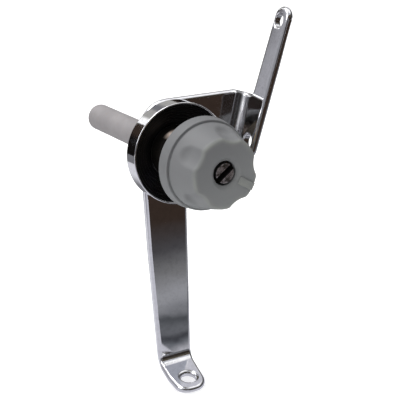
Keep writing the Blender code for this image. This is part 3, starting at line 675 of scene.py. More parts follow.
def turned(name, section, steps=96, closed=True):
    """A section of (radius, z) points turned round the z axis."""
    rows = []
    for r, z in supported(section, closed):
        rows.append(ring(r, z, steps) if r > 1e-9 else [(0, 0, z)])
    return surface(name, rows, closed)


def corner_arc(before, corner, after, size, steps):
    """The points that round a corner between two others; without steps, they follow how far it turns."""
    if size <= 0:
        return [corner]
    before, after = (before - corner).normalized(), (after - corner).normalized()
    turn = math.pi - before.angle(after)
    if turn < 1e-4:
        return [corner]
    middle = corner + (before + after).normalized() * (size / math.cos(turn / 2))
    back = size * math.tan(turn / 2)
    first = corner + before * back - middle
    last = corner + after * back - middle
    points = []
    count = steps or max(2, round(turn / STEP_ANGLE))
    for step in range(count + 1):
        part = step / count
        spread = first * math.sin((1 - part) * turn) + last * math.sin(part * turn)
        points.append(middle + spread / math.sin(turn))
    return points


def rounded_outline(corners, steps=None):
    """A closed outline from (point, radius) corners, each rounded by an arc tangent to its two sides."""
    outline = []
    for i, (corner, size) in enumerate(corners):
        outline += corner_arc(corners[i - 1][0], corner, corners[(i + 1) % len(corners)][0], size, steps)
    return outline


def rounded(corners, steps=4):
    """A section from (radius, z, rounding) corners."""
    outline = rounded_outline([(Vector((r, z)), size) for r, z, size in corners], steps)
    return [tuple(point) for point in outline]


def rounded_box(name, low, high, size):
    """A box between two corners with all its edges rounded."""
    middle = (Vector(low) + Vector(high)) / 2
    scale = Vector(high) - Vector(low)
    bm = bmesh.new()
    bmesh.ops.create_cube(bm, size=1, matrix=Matrix.LocRotScale(middle, None, scale))
    bmesh.ops.bevel(bm, geom=bm.edges[:], offset=size, segments=4, profile=0.5, affect="EDGES")
    return mesh_from(name, bm)


# ---- bracket ----------------------------------------------------------------------------------------


class Blank:
    """The bracket's flat sheet: its fold lines, its outline and where each point goes when folded.

    A hole on the flange is placed by its height above the plate and how far it is along the fold.
    """

    arm_front_slope = 0.1
    arm_back_slope = 0.1235
    arm_hole = (12.3 * MM, 51.2 * MM)
    low_hole = (8.6 * MM, 7.6 * MM)
    hole_edge = 0.4  # as a share of the outline's edge rounding
    leg_split = -30.0 * MM  # the flange's fold is above it and the foot's below
    dull_shade_reach = 0.8 * MM  # how far into the fold its plating turns rough and its colour takes painted shade
    dull_shade_peak = 0.336  # of the fold's length takes the darkest painted shade
    dull_shade_fade = 0.24  # of its length further on, the painted shade is lighter

    def __init__(self, bracket):
        self.b = bracket
        lean = bracket.flange_lean
        self.along = Vector((math.sin(lean), math.cos(lean), 0))
        self.across = Vector((math.cos(lean), -math.sin(lean), 0))
        self.middle = bracket.fold + bracket.sheet / 2
        self.flange_angle = math.radians(90)
        self.flange_start = bracket.flange_out - bracket.fold
        self.foot_set = bracket.fold * math.tan(bracket.foot_angle / 2)
        self.foot_start = -bracket.leg_drop + self.foot_set

    def on_flange(self, forward, along):
        """The flat sheet's point that ends up on the flange, so far forward and along the fold."""
        beyond = self.middle * self.flange_angle + forward - self.b.fold
        return self.along * along + self.across * (self.flange_start + beyond)

    def on_foot(self, x, out):
        """The flat sheet's point that ends up on the foot, that far out from its crease."""
        beyond = self.middle * self.b.foot_angle + out - self.foot_set
        return Vector((x, self.foot_start - beyond, 0))

    def front_edge(self, along):
        return self.b.arm_front + self.arm_front_slope * along

    def back_edge(self, along):
        return self.b.arm_back + self.arm_back_slope * along

    def corners(self):
        """The outline counter-clockwise from the foot, with the radius of each corner."""
        b = self.b
        right = b.leg_left + b.leg_width
        neck = right - 1.5 * MM
        end = b.foot_hole_out + b.foot_beyond
        foot_left = b.foot_middle - b.foot_end
        tip = (self.front_edge(b.arm_tip) - self.back_edge(b.arm_tip)) * 0.49
        bend_top = self.along * (b.flange_top + 0.3 * MM) + self.across * self.flange_start
        bend_low = self.along * b.flange_bottom + self.across * (self.flange_start - MM)
        cup = radius("bezel_cup")
        return [
            (self.on_foot(b.foot_middle + b.foot_end, end), b.foot_end * 1.09),
            (Vector((neck, -b.leg_drop, 0)), 12 * MM),
            (Vector((right, -cup, 0)), 2.5 * MM),
            (bend_low, 3 * MM),
            (self.on_flange(self.front_edge(b.flange_bottom), b.flange_bottom), 3 * MM),
            (self.on_flange(self.front_edge(b.arm_tip), b.arm_tip), tip),
            (self.on_flange(self.back_edge(b.arm_tip), b.arm_tip), tip),
            (self.on_flange(self.back_edge(b.flange_top), b.flange_top), 1.8 * MM),
            (self.on_flange(b.fold, b.flange_top), 0),
            (bend_top, 0),
            (Vector((b.leg_left - 0.5 * MM, b.plate_top + 0.4 * MM, 0)), b.plate_corner),
            (Vector((b.leg_left + 0.4 * MM, -b.leg_drop * 0.45, 0)), 150 * MM),
            (Vector((neck - b.leg_neck, -b.leg_drop, 0)), 20 * MM),
            (self.on_foot(foot_left - 0.5 * MM, b.foot_hole_out * 0.72), 14 * MM),
            (self.on_foot(foot_left, end), b.foot_end * 0.89),
        ]

    def holes(self):
        """Each hole's centre, its radius and how much its edges are rounded."""
        b = self.b
        return [
            (self.on_foot(b.foot_x, b.foot_hole_out), b.foot_hole, b.edge),
            (self.on_flange(*self.arm_hole), b.flange_hole, b.edge * self.hole_edge),
            (self.on_flange(*self.low_hole), b.flange_hole, b.edge * self.hole_edge),
            (Vector((0, 0, 0)), clamp_hole(), b.edge * self.hole_edge),
        ]

    def folded(self, place, normal):
        """Where a point of the flat sheet goes, and its normal there."""
        past_flange = place.dot(self.across) - self.flange_start
        past_foot = self.foot_start - place.y
        if place.y > self.leg_split and past_flange > 0:
            return self.turned(place, normal, past_flange, self.across, self.flange_angle)
        if past_foot > 0:
            return self.turned(place, normal, past_foot, Vector((0, -1, 0)), self.b.foot_angle)
        return place, normal

    def bent(self, place):
        """How rough the plating is at a point of the flat sheet, and how much painted shade darkens its colour in
        the folds.
        """
        past_foot = self.foot_start - place.y
        if place.y < self.leg_split:
            return 0.45 * clamped(past_foot / MM)
        fold = self.middle * self.flange_angle
        past_flange = place.dot(self.across) - self.flange_start
        painted_lighter = clamped((past_flange / fold - self.dull_shade_peak) / self.dull_shade_fade)
        inside = min(past_flange, fold - past_flange)
        return clamped(inside / self.dull_shade_reach) * (1 - 0.28 * painted_lighter)

    def turned(self, place, normal, beyond, across, fold_angle):
        """Bends a point that is beyond a fold line; across points away from the line."""
        turn = min(beyond / self.middle, fold_angle)
        straight = max(beyond - self.middle * fold_angle, 0)
        reach = self.middle - place.z
        out = reach * math.sin(turn) + straight * math.cos(turn)
        forward = self.middle - reach * math.cos(turn) + straight * math.sin(turn)
        flat = Vector((place.x, place.y, 0)) - across * beyond
        about = Matrix.Rotation(turn, 3, across.cross(Z_AXIS))
        return flat + across * out + Z_AXIS * forward, about @ normal


def hole_cutter(centre, size, edge, thickness):
    """A spool that cuts a round hole and rounds both its edges."""
    half = thickness / 2
    beyond = half + 0.2 * MM
    low = arc((size + edge, -half + edge), edge, 266, 180, 6)
    high = [(r, -z) for r, z in reversed(low)]
    section = [(0, -beyond), (low[0][0], -beyond), *low, *high, (low[0][0], beyond), (0, beyond)]
    cutter = linked("cutter", turned("cutter", section, 64, closed=False))
    cutter.matrix_world = Matrix.Translation(centre)
    return cutter


def cut(mesh, cutters):
    """A mesh with the cutters taken out of it; the cutters are used up."""
    block = linked("block", mesh)
    for cutter in cutters:
        step = block.modifiers.new("cut", "BOOLEAN")
        step.operation = "DIFFERENCE"
        step.solver = "EXACT"
        step.object = cutter
    result = mesh_of(block)
    for cutter in cutters:
        bpy.data.objects.remove(cutter)
    result.materials.clear()
    return result


def flat_sheet(blank):
    """The unfolded sheet with rounded edges, its middle plane at z = 0."""
    sheet, edge = blank.b.sheet, blank.b.edge
    mesh = curve_mesh(
        "blank",
        rounded_outline(blank.corners()),
        True,
        dimensions="2D",
        fill_mode="BOTH",
        extrude=sheet / 2 - edge,
        bevel_depth=edge,
        bevel_resolution=6,
        offset=-edge,
    )
    bm = bmesh.new()
    bm.from_mesh(mesh)
    refill(bm, sheet)
    bmesh.ops.recalc_face_normals(bm, faces=bm.faces[:])
    bm.to_mesh(mesh)
    bm.clear()
    bm.from_mesh(cut(mesh, [hole_cutter(*hole, sheet) for hole in blank.holes()]))
    return bm


def refill(bm, thickness):
    """Fills the sheet's front face anew from its own rims, then mirrors that half to the back."""
    caps = [f for f in bm.faces if abs(f.normal.z) > 0.999]
    bmesh.ops.delete(bm, geom=caps, context="FACES")
    bmesh.ops.remove_doubles(bm, verts=bm.verts[:], dist=1e-6)
    whole = [*bm.verts, *bm.edges, *bm.faces]
    bmesh.ops.bisect_plane(bm, geom=whole, plane_co=(0, 0, 0), plane_no=Z_AXIS, clear_inner=True)
    rims = [e for e in bm.edges if e.is_boundary and e.verts[0].co.z > thickness / 4]
    bmesh.ops.triangle_fill(bm, edges=rims, use_beauty=True, normal=Z_AXIS)
    whole = [*bm.verts, *bm.edges, *bm.faces]
    bmesh.ops.mirror(bm, geom=whole, axis="Z", merge_dist=1e-6)


def score(bm, point, normal, keep=lambda place: True):
    """Cuts the sheet's faces along a line, so that it can bend there."""
    faces = [f for f in bm.faces if all(keep(v.co) for v in f.verts)]
    edges = {e for f in faces for e in f.edges}
    verts = {v for f in faces for v in f.verts}
    bmesh.ops.bisect_plane(bm, geom=[*verts, *edges, *faces], dist=1e-7, plane_co=point, plane_no=normal)


def folded_bracket(bracket):
    """The sheet scored, folded and marked with how rough its plating is and how much painted shade its colour
    takes in the folds, and the normals of its points.
    """
    blank = Blank(bracket)
    bm = flat_sheet(blank)
    up = Vector((0, 1, 0))
    score(bm, (0, blank.leg_split, 0), up)
    pitch = 3 * MM
    for step in range(-30, 20):
        score(bm, (0, step * pitch, 0), up)
        score(bm, (step * pitch, 0, 0), X_AXIS)
    bends = 20
    slack = 1e-6
    for step in range(bends + 1):
        beyond = blank.middle * blank.flange_angle * step / bends
        line = blank.across * (blank.flange_start + beyond)
        score(bm, line, blank.across, lambda place: place.y > blank.leg_split - slack)
        beyond = blank.middle * bracket.foot_angle * step / bends
        line = up * (blank.foot_start - beyond)
        score(bm, line, up, lambda place: place.y < blank.leg_split + slack)
    bm.normal_update()
    normals = []
    bent = bm.verts.layers.float.new("bent")
    for vert in bm.verts:
        vert[bent] = blank.bent(vert.co)
        level = any(abs(f.normal.z) > 0.9999 for f in vert.link_faces)
        normal = Z_AXIS * math.copysign(1, vert.co.z) if level else vert.normal.copy()
        vert.co, normal = blank.folded(vert.co, normal)
        normals.append(normal)
    return bm, normals


# ---- operators --------------------------------------------------------------------------------------


class LOCK_OT_bracket(bpy.types.Operator):
    """Builds the folded bracket with its leg, foot, flange and arm"""

    bl_idname = "lock.bracket"
    bl_label = "Bracket"

    def execute(self, context):
        bracket = context.scene.lock_bracket
        bm, normals = folded_bracket(bracket)
        plate = rear("bezel_cup") - GAP - bracket.sheet / 2
        bmesh.ops.translate(bm, verts=bm.verts[:], vec=(0, 0, plate))
        mesh = mesh_from("folded_bracket", bm, 180)
        mesh.normals_split_custom_set_from_vertices(normals)
        stand_for("mounting_bracket", mesh, name="folded_bracket")
        return {"FINISHED"}


class LOCK_OT_cup(bpy.types.Operator):
    """Builds the chromed cup and its stepped rubber liner"""

    bl_idname = "lock.cup"
    bl_label = "Cup and liner"

    def execute(self, context):
        cup = context.scene.lock_cup
        self.bezel(cup)
        self.liner(cup)
        return {"FINISHED"}

    def bezel(self, cup):
        """The cup's section: its floor, a rolled rim and a rounded rear corner."""
        outer, low, hole = radius("bezel_cup"), rear("bezel_cup"), clamp_hole()
        half, corner = cup.wall / 2, 0.5 * MM
        section = [
            (hole, low + cup.floor),
            *arc((outer - cup.wall - corner, low + cup.floor + corner), corner, -90, 0, 5),
            *arc((outer - half, -half), half, 180, 0, 12),
            *arc((outer - cup.back, low + cup.back), cup.back, 0, -90, 10),
            (hole, low),
        ]
        stand_for("bezel_cup", turned("chrome_cup", section, 160), name="chrome_cup")

    def liner(self, cup):
        """The liner's section: stairs that rise from the boss to a lip inside the rim."""
        outer, inner = radius("cup_liner"), radius("barrel") + GAP
        low, high = rear("cup_liner"), front("cup_liner")
        lip = outer - cup.liner_lip
        stair_low = low + 0.4 * MM
        stair_high = rear("knob") - joint("knob_push")["range_m"][1] - 2 * GAP
        treads = 6
        tread = (lip - inner) / treads
        rise = (stair_high - stair_low) / (treads - 1)
        corners = []
        for step in range(treads):
            start, level = inner + tread * step, stair_low + rise * step
            corners.append((start, level, 0.12 * MM))
            corners.append((start + tread - 0.25 * MM, level, 0.12 * MM))
        corners += [(lip, high, 0.15 * MM), (outer, high, 0.15 * MM), (outer, low, 0), (inner, low, 0)]
        mesh = turned("stepped_liner", rounded(corners, 3), 128)
        stand_for("cup_liner", mesh, name="stepped_liner")


class LOCK_OT_knob(bpy.types.Operator):
    """Builds the fluted knob with its pointer"""

    bl_idname = "lock.knob"
    bl_label = "Knob"

    def execute(self, context):
        shape = KnobShape(context.scene.lock_knob)
        mesh = surface("fluted_knob", shape.rows(), degrees=40)
        mark(mesh, "worn", shape.worn)
        mark(mesh, "grimy", shape.grimy)
        stand_for("knob", mesh, name="fluted_knob")
        self.pointer(shape)
        return {"FINISHED"}

    def pointer(self, shape):
        """The raised rib on the face, painted paler along its top."""
        knob = shape.k
        half = knob.rib_width / 2
        low = (shape.keyhole + 1.25 * MM, -half, shape.face - 0.4 * MM)
        high = (shape.face_radius - 0.45 * MM, half, shape.face + knob.rib_height)
        mesh = rounded_box("pointer_rib", low, high, 0.22 * MM)
        mark(mesh, "worn", lambda place: 0.9 if place.z > shape.face + 0.1 * MM else 0.0)
        turn = Matrix.Rotation(knob.rib_turn, 4, "Z")
        new_piece("pointer_rib", mesh, SLOTS["knob"], BODIES["knob"], placed=turn)


class KnobShape:
    """The knob's surface, as rows of points from its keyhole over the face and skirt to its hub."""

    around = 240
    skirt_height = 4.6 * MM
    skirt_step = 1.15 * MM
    plug_clear = 0.73 * MM
    bowl = 1.3 * MM
    wall = 1.5 * MM

    def __init__(self, knob):
        self.k = knob
        self.face = front("knob") - knob.rib_height
        self.skirt_rear = rear("knob")
        self.skirt = radius("knob")
        self.ledge = self.skirt_rear + self.skirt_height
        self.body = self.skirt - self.skirt_step
        self.face_radius = self.body - knob.taper
        self.keyhole = radius("key_plug") + self.plug_clear
        self.floor = front("spring_seat") + GAP
        self.seat = front("hub_insert") + GAP
        self.insert = radius("hub_insert") - 1.2 * MM

    def cone(self, z):
        """The side's radius where there is no flute."""
        part = (z - self.ledge) / (self.face - self.ledge)
        return self.body - self.k.taper * part

    def flute(self, turn, z):
        """Where a line out from the axis enters the nearest flute's leaning, ball-ended bar, or None."""
        k = self.k
        pitch = 2 * math.pi / k.flutes
        off = (turn - k.flute_start + pitch / 2) % pitch - pitch / 2
        lean = Vector((-math.sin(k.flute_tilt), 0, math.cos(k.flute_tilt)))
        across = Vector((math.cos(k.flute_tilt), 0, math.sin(k.flute_tilt)))
        foot = Vector((self.face_radius - k.flute_depth, 0, self.face))
        centre = foot + across * k.flute_radius
        ray = Vector((math.cos(off), math.sin(off), 0))
        start = Vector((0, 0, z)) - centre
        slope, along = ray.dot(lean), start.dot(lean)
        # the bar is a cylinder along lean, which the line enters at the lesser root
        a = 1 - slope * slope
        b = ray.dot(start) - slope * along
        c = start.length_squared - along * along - k.flute_radius**2
        inside = b * b - a * c
        bar = (-b - math.sqrt(inside)) / a if inside > 0 else None
        if bar is not None and (start + ray * bar).dot(lean) > -k.flute_length:
            return bar
        # past the bar's end, the line may still enter the ball there
        ball = start + lean * k.flute_length
        b = ray.dot(ball)
        inside = b * b - ball.length_squared + k.flute_radius**2
        return -b - math.sqrt(inside) if inside > 0 else None

    def side(self, turn, z):
        """The fluted side's radius, with the flutes' edges softened."""
        plain = self.cone(z)
        dished = self.flute(turn, z)
        if dished is None:
            return plain
        soft = 0.45 * MM
        plainness = clamped(0.5 + 0.5 * (dished - plain) / soft)
        return dished + (plain - dished) * plainness - soft * plainness * (1 - plainness)

    def row(self, size, z):
        return ring(size, z, self.around)

    def within(self, place):
        """A point's distance from the axis, its direction and its depth inside the fluted side."""
        size, turn = math.hypot(place.x, place.y), math.atan2(place.y, place.x) % (2 * math.pi)
        return size, turn, self.side(turn, min(place.z, self.face)) - size

    def worn(self, place):
        """How pale a point is painted: most along the face's lobed edge, and a little low in the bowl, on its
        lower right side, as a painted highlight.
        """
        if place.z <= self.ledge:
            return 0.0
        size, turn, inside = self.within(place)
        edge = near(place.z, self.face - 0.3 * MM, 1.2 * MM) * near(inside, 0.35 * MM, 1.3 * MM)
        # painted highlight: paler round the bowl's lower right side
        bowl = near(size, self.keyhole + 0.9 * MM, 0.8 * MM)
        bowl_turn = math.radians(310)
        return edge + 0.5 * bowl * max(0.0, math.cos(turn - bowl_turn))

    def grimy(self, place):
        """How much painted shade a point takes: most in the dishes, towards their rear ends."""
        size, turn, inside = self.within(place)
        if place.z <= self.ledge or abs(inside) >= 0.3 * MM:
            return 0.0
        dish = clamped((self.cone(place.z) - self.side(turn, place.z)) / (0.55 * MM))
        return dish * near(place.z, self.ledge + 3.6 * MM, 3.4 * MM)

    def rows(self):
        outside = [*self.face_rows(), *self.edge_rows(), *self.side_rows(), *self.skirt_rows()]
        return [*outside, *self.inner_rows()]

    def face_rows(self):
        """Up the keyhole, over its bowl and out to where the face's edge begins to round."""
        bowl_end = self.keyhole + self.bowl
        corners = [
            (self.keyhole, self.seat, 0),
            (self.keyhole, self.face - self.bowl, 0.35 * MM),
            (bowl_end, self.face, 0.45 * MM),
            (self.body, self.face, 0),
        ]
        rows = [self.row(r, z) for r, z in rounded(corners, 5)[:-1]]
        start = bowl_end + 0.35 * MM
        for step in range(9):
            part = step / 8
            rows.append(self.row(lambda a, p=part: start + (self.rim(a) - start) * p, self.face))
        return rows

    def rim(self, turn):
        return self.side(turn, self.face) - self.k.edge

    def edge_rows(self):
        rows = []
        for step in range(1, 8):
            turn = math.radians(90 * step / 8)
            back = self.k.edge * (1 - math.sin(turn))
            z = self.face - self.k.edge * (1 - math.cos(turn))
            rows.append(self.row(lambda a, z=z, b=back: self.side(a, z) - b, z))
        return rows

    def side_rows(self):
        top, low = self.face - self.k.edge, self.ledge + 1.1 * MM
        count = 28
        levels = [top + (low - top) * i / count for i in range(count + 1)]
        return [self.row(lambda a, z=z: self.side(a, z), z) for z in levels]

    def skirt_rows(self):
        """A narrow groove round the foot of the side, then the skirt's shoulder, side and rear edge."""
        shoulder = self.skirt - 0.5 * MM
        sweep = 0.25 * MM
        outer = [
            (self.body - 0.12 * MM, self.ledge + 0.75 * MM),
            (self.body - 0.42 * MM, self.ledge + 0.4 * MM),
            (self.body - 0.45 * MM, self.ledge + 0.15 * MM),
            (self.body - 0.2 * MM, self.ledge - 0.05 * MM),
            (self.body + 0.25 * MM, self.ledge),
            *arc((shoulder - sweep, self.ledge - sweep), sweep, 90, 5, 4),
            *arc((self.skirt - 0.3 * MM, self.skirt_rear + 0.3 * MM), 0.3 * MM, 0, -90, 5),
        ]
        return [self.row(r, z) for r, z in outer]

    def inner_rows(self):
        """The hollow under the knob, with its hub."""
        inside, bore = self.skirt - self.wall, self.insert + GAP
        hub, hub_rear = bore + 1.25 * MM, self.floor - 11.5 * MM
        inner = [
            (inside + 0.15 * MM, self.skirt_rear),
            (inside, self.skirt_rear + 0.15 * MM),
            (inside - 0.5 * MM, self.ledge - self.wall),
            (self.body - self.wall, self.ledge),
            (self.face_radius - self.k.flute_depth - self.wall, self.floor),
            (hub, self.floor),
            (hub, hub_rear),
            (bore, hub_rear),
            (bore, self.seat),
        ]
        return [self.row(r, z) for r, z in inner]


class LOCK_OT_plug(bpy.types.Operator):
    """Builds the slotted plug in the knob"""

    bl_idname = "lock.plug"
    bl_label = "Plug"

    def execute(self, context):
        knob = context.scene.lock_knob
        outer = radius("key_plug")
        low, high = rear("key_plug"), front("key_plug")
        floor = high - knob.slot_depth
        bm = bmesh.new()
        bm.from_mesh(turned("plug_core", self.core(outer, low, floor), 96, False))
        for side in (-1, 1):
            self.half(bm, outer, floor, high, knob.slot_width / 2, side)
        mesh = mesh_from("slotted_plug", bm, 40)
        turn = Matrix.Rotation(knob.slot_turn, 4, "Z")
        stand_for("key_plug", mesh, turn, look="worn_plug_steel", name="slotted_plug")
        mesh.materials.append(material_for("worn_plug_side"))
        # painted shade: all but the plug's top face take the black of the slot and sides
        for face in mesh.polygons:
            facing = face.normal.z > 0.4 and face.center.z > high - 0.3 * MM
            face.material_index = 0 if facing else 1
        return {"FINISHED"}

    def core(self, outer, low, floor):
        """The plug below its slot, with a socket for the cam rod in its rear."""
        socket, top = 1.8 * MM, low + 2.6 * MM
        return [(0, floor), (outer, floor), (outer, low), (socket, low), (socket, top), (0, top)]

    def half(self, bm, outer, floor, high, gap, side):
        """One D-shaped half of the face, its edges rounded off by wear and its top slightly domed."""
        inset, sunk = 0.22 * MM, 0.2 * MM
        brow = 0.3 * inset
        levels = [(0, floor - sunk), (0, high - inset), (brow, high - brow), (inset, high)]
        loops = []
        for back, z in levels:
            r = outer - back
            reach = math.acos((gap + back) / r)
            turns = [-reach + 2 * reach * i / 24 for i in range(25)]
            points = [(-side * r * math.sin(a), side * r * math.cos(a), z) for a in turns]
            loops.append([bm.verts.new(point) for point in points])
        for first, second in zip(loops, loops[1:]):
            for i in range(len(first)):
                j = (i + 1) % len(first)
                bm.faces.new([first[i], first[j], second[j], second[i]])
        bm.faces.new(loops[0])
        bm.faces.new(loops[-1])


def soft_ring(node, inner, size):
    """The section of a plain ring as long and as wide as its CAD node, with all four corners rounded."""
    outer, low, high = radius(node), rear(node), front(node)
    return rounded([(inner, high, size), (outer, high, size), (outer, low, size), (inner, low, size)], 4)


def split_ring(name, section, gap, turn, steps=96):
    """A section swept round the axis from one side of a gap to the other, in the direction turn."""
    half = gap / 2 / max(r for r, z in section)
    turns = [turn + half + (2 * math.pi - 2 * half) * i / steps for i in range(steps + 1)]
    rows = [[(r * math.cos(a), r * math.sin(a), z) for r, z in section] for a in turns]
    ends = [[tuple(sum((Vector(p) for p in row), Vector()) / len(row))] for row in (rows[0], rows[-1])]
    return surface(name, [ends[0], *rows, ends[1]], closed=False)


class LOCK_OT_barrel(bpy.types.Operator):
    """Builds the threaded barrel, its nut and its split washer"""

    bl_idname = "lock.barrel"
    bl_label = "Barrel, nut and washer"

    def execute(self, context):
        mesh = turned("fine_barrel", self.barrel(), 128)
        # painted highlight: a pale glint on one side of the boss, near its front
        hole, glint_end = clamp_hole(), front("barrel") - 0.8 * MM
        glint_turn, glint_span, glint_length = math.radians(118), math.radians(17), 1.4 * MM

        def pale_and_glint(place):
            """Where the painted glint lies: on one side of the boss, near its front."""
            if math.hypot(place.x, place.y) <= hole:
                return 0.0
            aside = near(math.atan2(place.y, place.x), glint_turn, glint_span)
            return aside * clamped(1 - (glint_end - place.z) / glint_length)

        mark(mesh, "worn", pale_and_glint)
        stand_for("barrel", mesh)
        stand_for("barrel_nut", self.nut())
        washer = soft_ring("lock_washer", hole, 0.25 * MM)
        gap, turn = 1.6 * MM, math.radians(215)
        stand_for("lock_washer", split_ring("fine_lock_washer", washer, gap, turn, 128))
        return {"FINISHED"}

    def barrel(self):
        """The barrel's section: its boss, the thread as grooves, and a lip that keeps the bush in."""
        boss, thread, bore = radius("barrel"), clamp_hole() - GAP, barrel_bore()
        lip, lip_depth = radius("bolt_rod") + 2 * GAP, MM
        shoulder = front("seating_washer") + GAP
        high, low = front("barrel"), rear("barrel")
        pitch, depth = MM, 0.45 * MM
        grooves = []
        level = front("barrel_nut") + 1.5 * MM
        while level > low + 1.2 * MM:
            grooves += [(thread, level, 0), (thread - depth, level - pitch / 2, 0)]
            level -= pitch
        corners = [
            (bore + 0.4 * MM, high, 0.1 * MM),
            (boss, high, 0.4 * MM),
            (boss, high - 0.8 * MM, 0),
            (boss, high - 2.2 * MM, 0),
            (boss, shoulder, 0.1 * MM),
            (thread, shoulder, 0),
            *grooves,
            (thread, low + 0.6 * MM, 0.1 * MM),
            (thread - 0.6 * MM, low, 0.1 * MM),
            (lip, low, 0.15 * MM),
            (lip, low + lip_depth, 0),
            (bore, low + lip_depth, 0),
            (bore, high - 0.4 * MM, 0.1 * MM),
        ]
        return rounded(corners, 3)

    def nut(self):
        """A hexagon with its corners turned off at both faces and a countersunk bore."""
        flat = radius("barrel_nut") * math.cos(math.radians(30))
        low, high = rear("barrel_nut"), front("barrel_nut")
        bore, sink = clamp_hole(), 0.45 * MM
        inset, fall = 0.35 * MM, 0.18 * MM
        slope = 1.73  # the corners are turned off at 30 degrees to the face
        turned_off = [(flat - inset + fall * i * slope, fall * i) for i in range(9)]
        section = [
            (bore, low + sink),
            (bore, high - sink),
            (bore + sink, high),
            *[(size, high - drop) for size, drop in turned_off],
            *[(size, low + drop) for size, drop in reversed(turned_off)],
            (bore + sink, low),
        ]

        def hexagon(size):
            return lambda turn: min(size, flat / math.cos(turn % (math.pi / 3) - math.pi / 6))

        around = 240
        rows = [ring(hexagon(size), z, around) for size, z in section]
        return surface("fine_barrel_nut", rows, degrees=25)


class LOCK_OT_bolt(bpy.types.Operator):
    """Builds the bolt with its locking pin, stop ring and buffer, and the spring round it"""

    bl_idname = "lock.bolt"
    bl_label = "Bolt and spring"

    def execute(self, context):
        stand_for("bolt_rod", self.rod())
        pin = turned("fine_locking_pin", self.pin(), 48, closed=False)
        stand_for("locking_pin", pin, self.upright())
        circlip, mouth = soft_ring("stop_ring", self.groove() + GAP, 0.15 * MM), 4 * MM
        stand_for("stop_ring", split_ring("fine_stop_ring", circlip, mouth, math.radians(250)))
        buffer = soft_ring("buffer_washer", radius("bolt_rod") + GAP, 0.35 * MM)
        stand_for("buffer_washer", turned("fine_buffer_washer", buffer))
        self.spring()
        return {"FINISHED"}

    def upright(self):
        """Stands a turned piece on the bolt, where the locking pin is."""
        middle = (front("locking_pin") + rear("locking_pin")) / 2
        return Matrix.Translation((0, 0, middle)) @ Matrix.Rotation(math.radians(-90), 4, "X")

    def groove(self):
        """The bolt's radius in the stop ring's groove."""
        return radius("bolt_rod") - 0.9 * MM

    def rod(self):
        """The bolt with its hollow spindle, the stop ring's groove and the locking pin's hole."""
        size, bore, bore_end = radius("bolt_rod"), radius("cam_rod") + GAP, rear("cam_rod") - GAP
        spindle, spindle_end, neck = bore + 1.6 * MM, front("bolt_rod"), rear("hub_insert") - GAP
        groove = self.groove()
        groove_front, groove_rear = front("stop_ring") + GAP / 2, rear("stop_ring") - GAP / 2
        end, ball, chamfer = rear("bolt_rod"), 1.5 * MM, 0.4 * MM
        section = [
            (0, bore_end),
            (bore, bore_end),
            (bore, spindle_end),
            (spindle - chamfer, spindle_end),
            (spindle, spindle_end - chamfer),
            (spindle, neck),
            (size - chamfer, neck),
            (size, neck - chamfer),
            (size, groove_front),
            (groove, groove_front),
            (groove, groove_rear),
            (size, groove_rear),
            *arc((size - ball, end + ball), ball, 0, -90, 12),
            (0, end),
        ]
        pin_hole = 1.4 * MM
        tool = [(0, 0), (pin_hole, 0), (pin_hole, size + MM), (0, size + MM)]
        drill = linked("drill", turned("drill", tool, 48, closed=False))
        drill.matrix_world = self.upright()
        mesh = cut(turned("rod", section, 128, closed=False), [drill])
        mesh.name = "fine_bolt_rod"
        shade(mesh, 30)
        return mesh

    def pin(self):
        """The locking pin's section: a domed head and a thin nose that reaches down to the cam rod."""
        low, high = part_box("locking_pin")
        size = (high[1] - low[1]) / 2
        top, bottom = high[2] - AXIS.z, low[2] - AXIS.z
        shoulder = radius("cam_rod") + GAP + 0.1 * MM
        nose, dome = 0.5 * MM, 0.4 * MM
        head = arc((size - dome, top - dome), dome, 90, 0, 6)
        return [(0, top), *head, (size, shoulder), (nose, shoulder), (nose, bottom), (0, bottom)]

    def spring(self):
        """A coil whose end turns lie nearly flat on the boss and on the spring seat."""
        wire = 1.2 * MM
        low = front("barrel") + GAP + wire / 2
        high = rear("spring_seat") - GAP - wire / 2
        size = (barrel_bore() + radius("barrel")) / 2
        turns, per_turn, rise = 6.5, 48, wire + GAP
        points = []
        for i in range(round(turns * per_turn) + 1):
            turn = i / per_turn
            if turn < 1:
                z = low + rise * turn
            elif turn > turns - 1:
                z = high - rise * (turns - turn)
            else:
                z = low + rise + (high - low - 2 * rise) * (turn - 1) / (turns - 2)
            heading = 2 * math.pi * turn
            points.append((size * math.cos(heading), size * math.sin(heading), z))
        bevel = {"bevel_depth": wire / 2, "bevel_resolution": 5, "use_fill_caps": True}
        mesh = curve_mesh("coil", points, False, dimensions="3D", **bevel)
        mesh.name = "fine_return_spring"
        shade(mesh, 60)
        piece = stand_for("return_spring", mesh, look="spring_wire")
        travel = joint("knob_push")["range_m"][1]
        reach = high - low + wire
        (reach - travel) / reach
        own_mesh(piece)


class LOCK_OT_fixings(bpy.types.Operator):
    """Gives the seals, clips and screws inside the lock their finishes"""

    bl_idname = "lock.fixings"
    bl_label = "Fixings inside"

    def execute(self, context):
        for node, obj in frame["nodes"].items():
            if not obj.hide_render:
                obj.data.materials.clear()
                obj.data.materials.append(material_for(SLOTS[node]))
        return {"FINISHED"}


# ---- stage ------------------------------------------------------------------------------------------


def area_light(name, place, size, power):
    """A soft lamp that points at the lock."""
    data = bpy.data.lights.new(name, "AREA")
    data.shape = "RECTANGLE"
    data.size, data.size_y = size
    data.energy = power
    lamp = linked(name, data)
    lamp.location = place
    lamp.rotation_euler = (AXIS - Vector(place)).to_track_quat("-Z", "Y").to_euler()


def square(name, half):
    """A level square sheet, which isn't part of the lock."""
    bm = bmesh.new()
    bmesh.ops.create_grid(bm, x_segments=1, y_segments=1, size=half)
    mesh = bpy.data.meshes.new(name)
    bm.to_mesh(mesh)
    bm.free()
    sheet = linked(name, mesh)
    sheet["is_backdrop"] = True
    return sheet


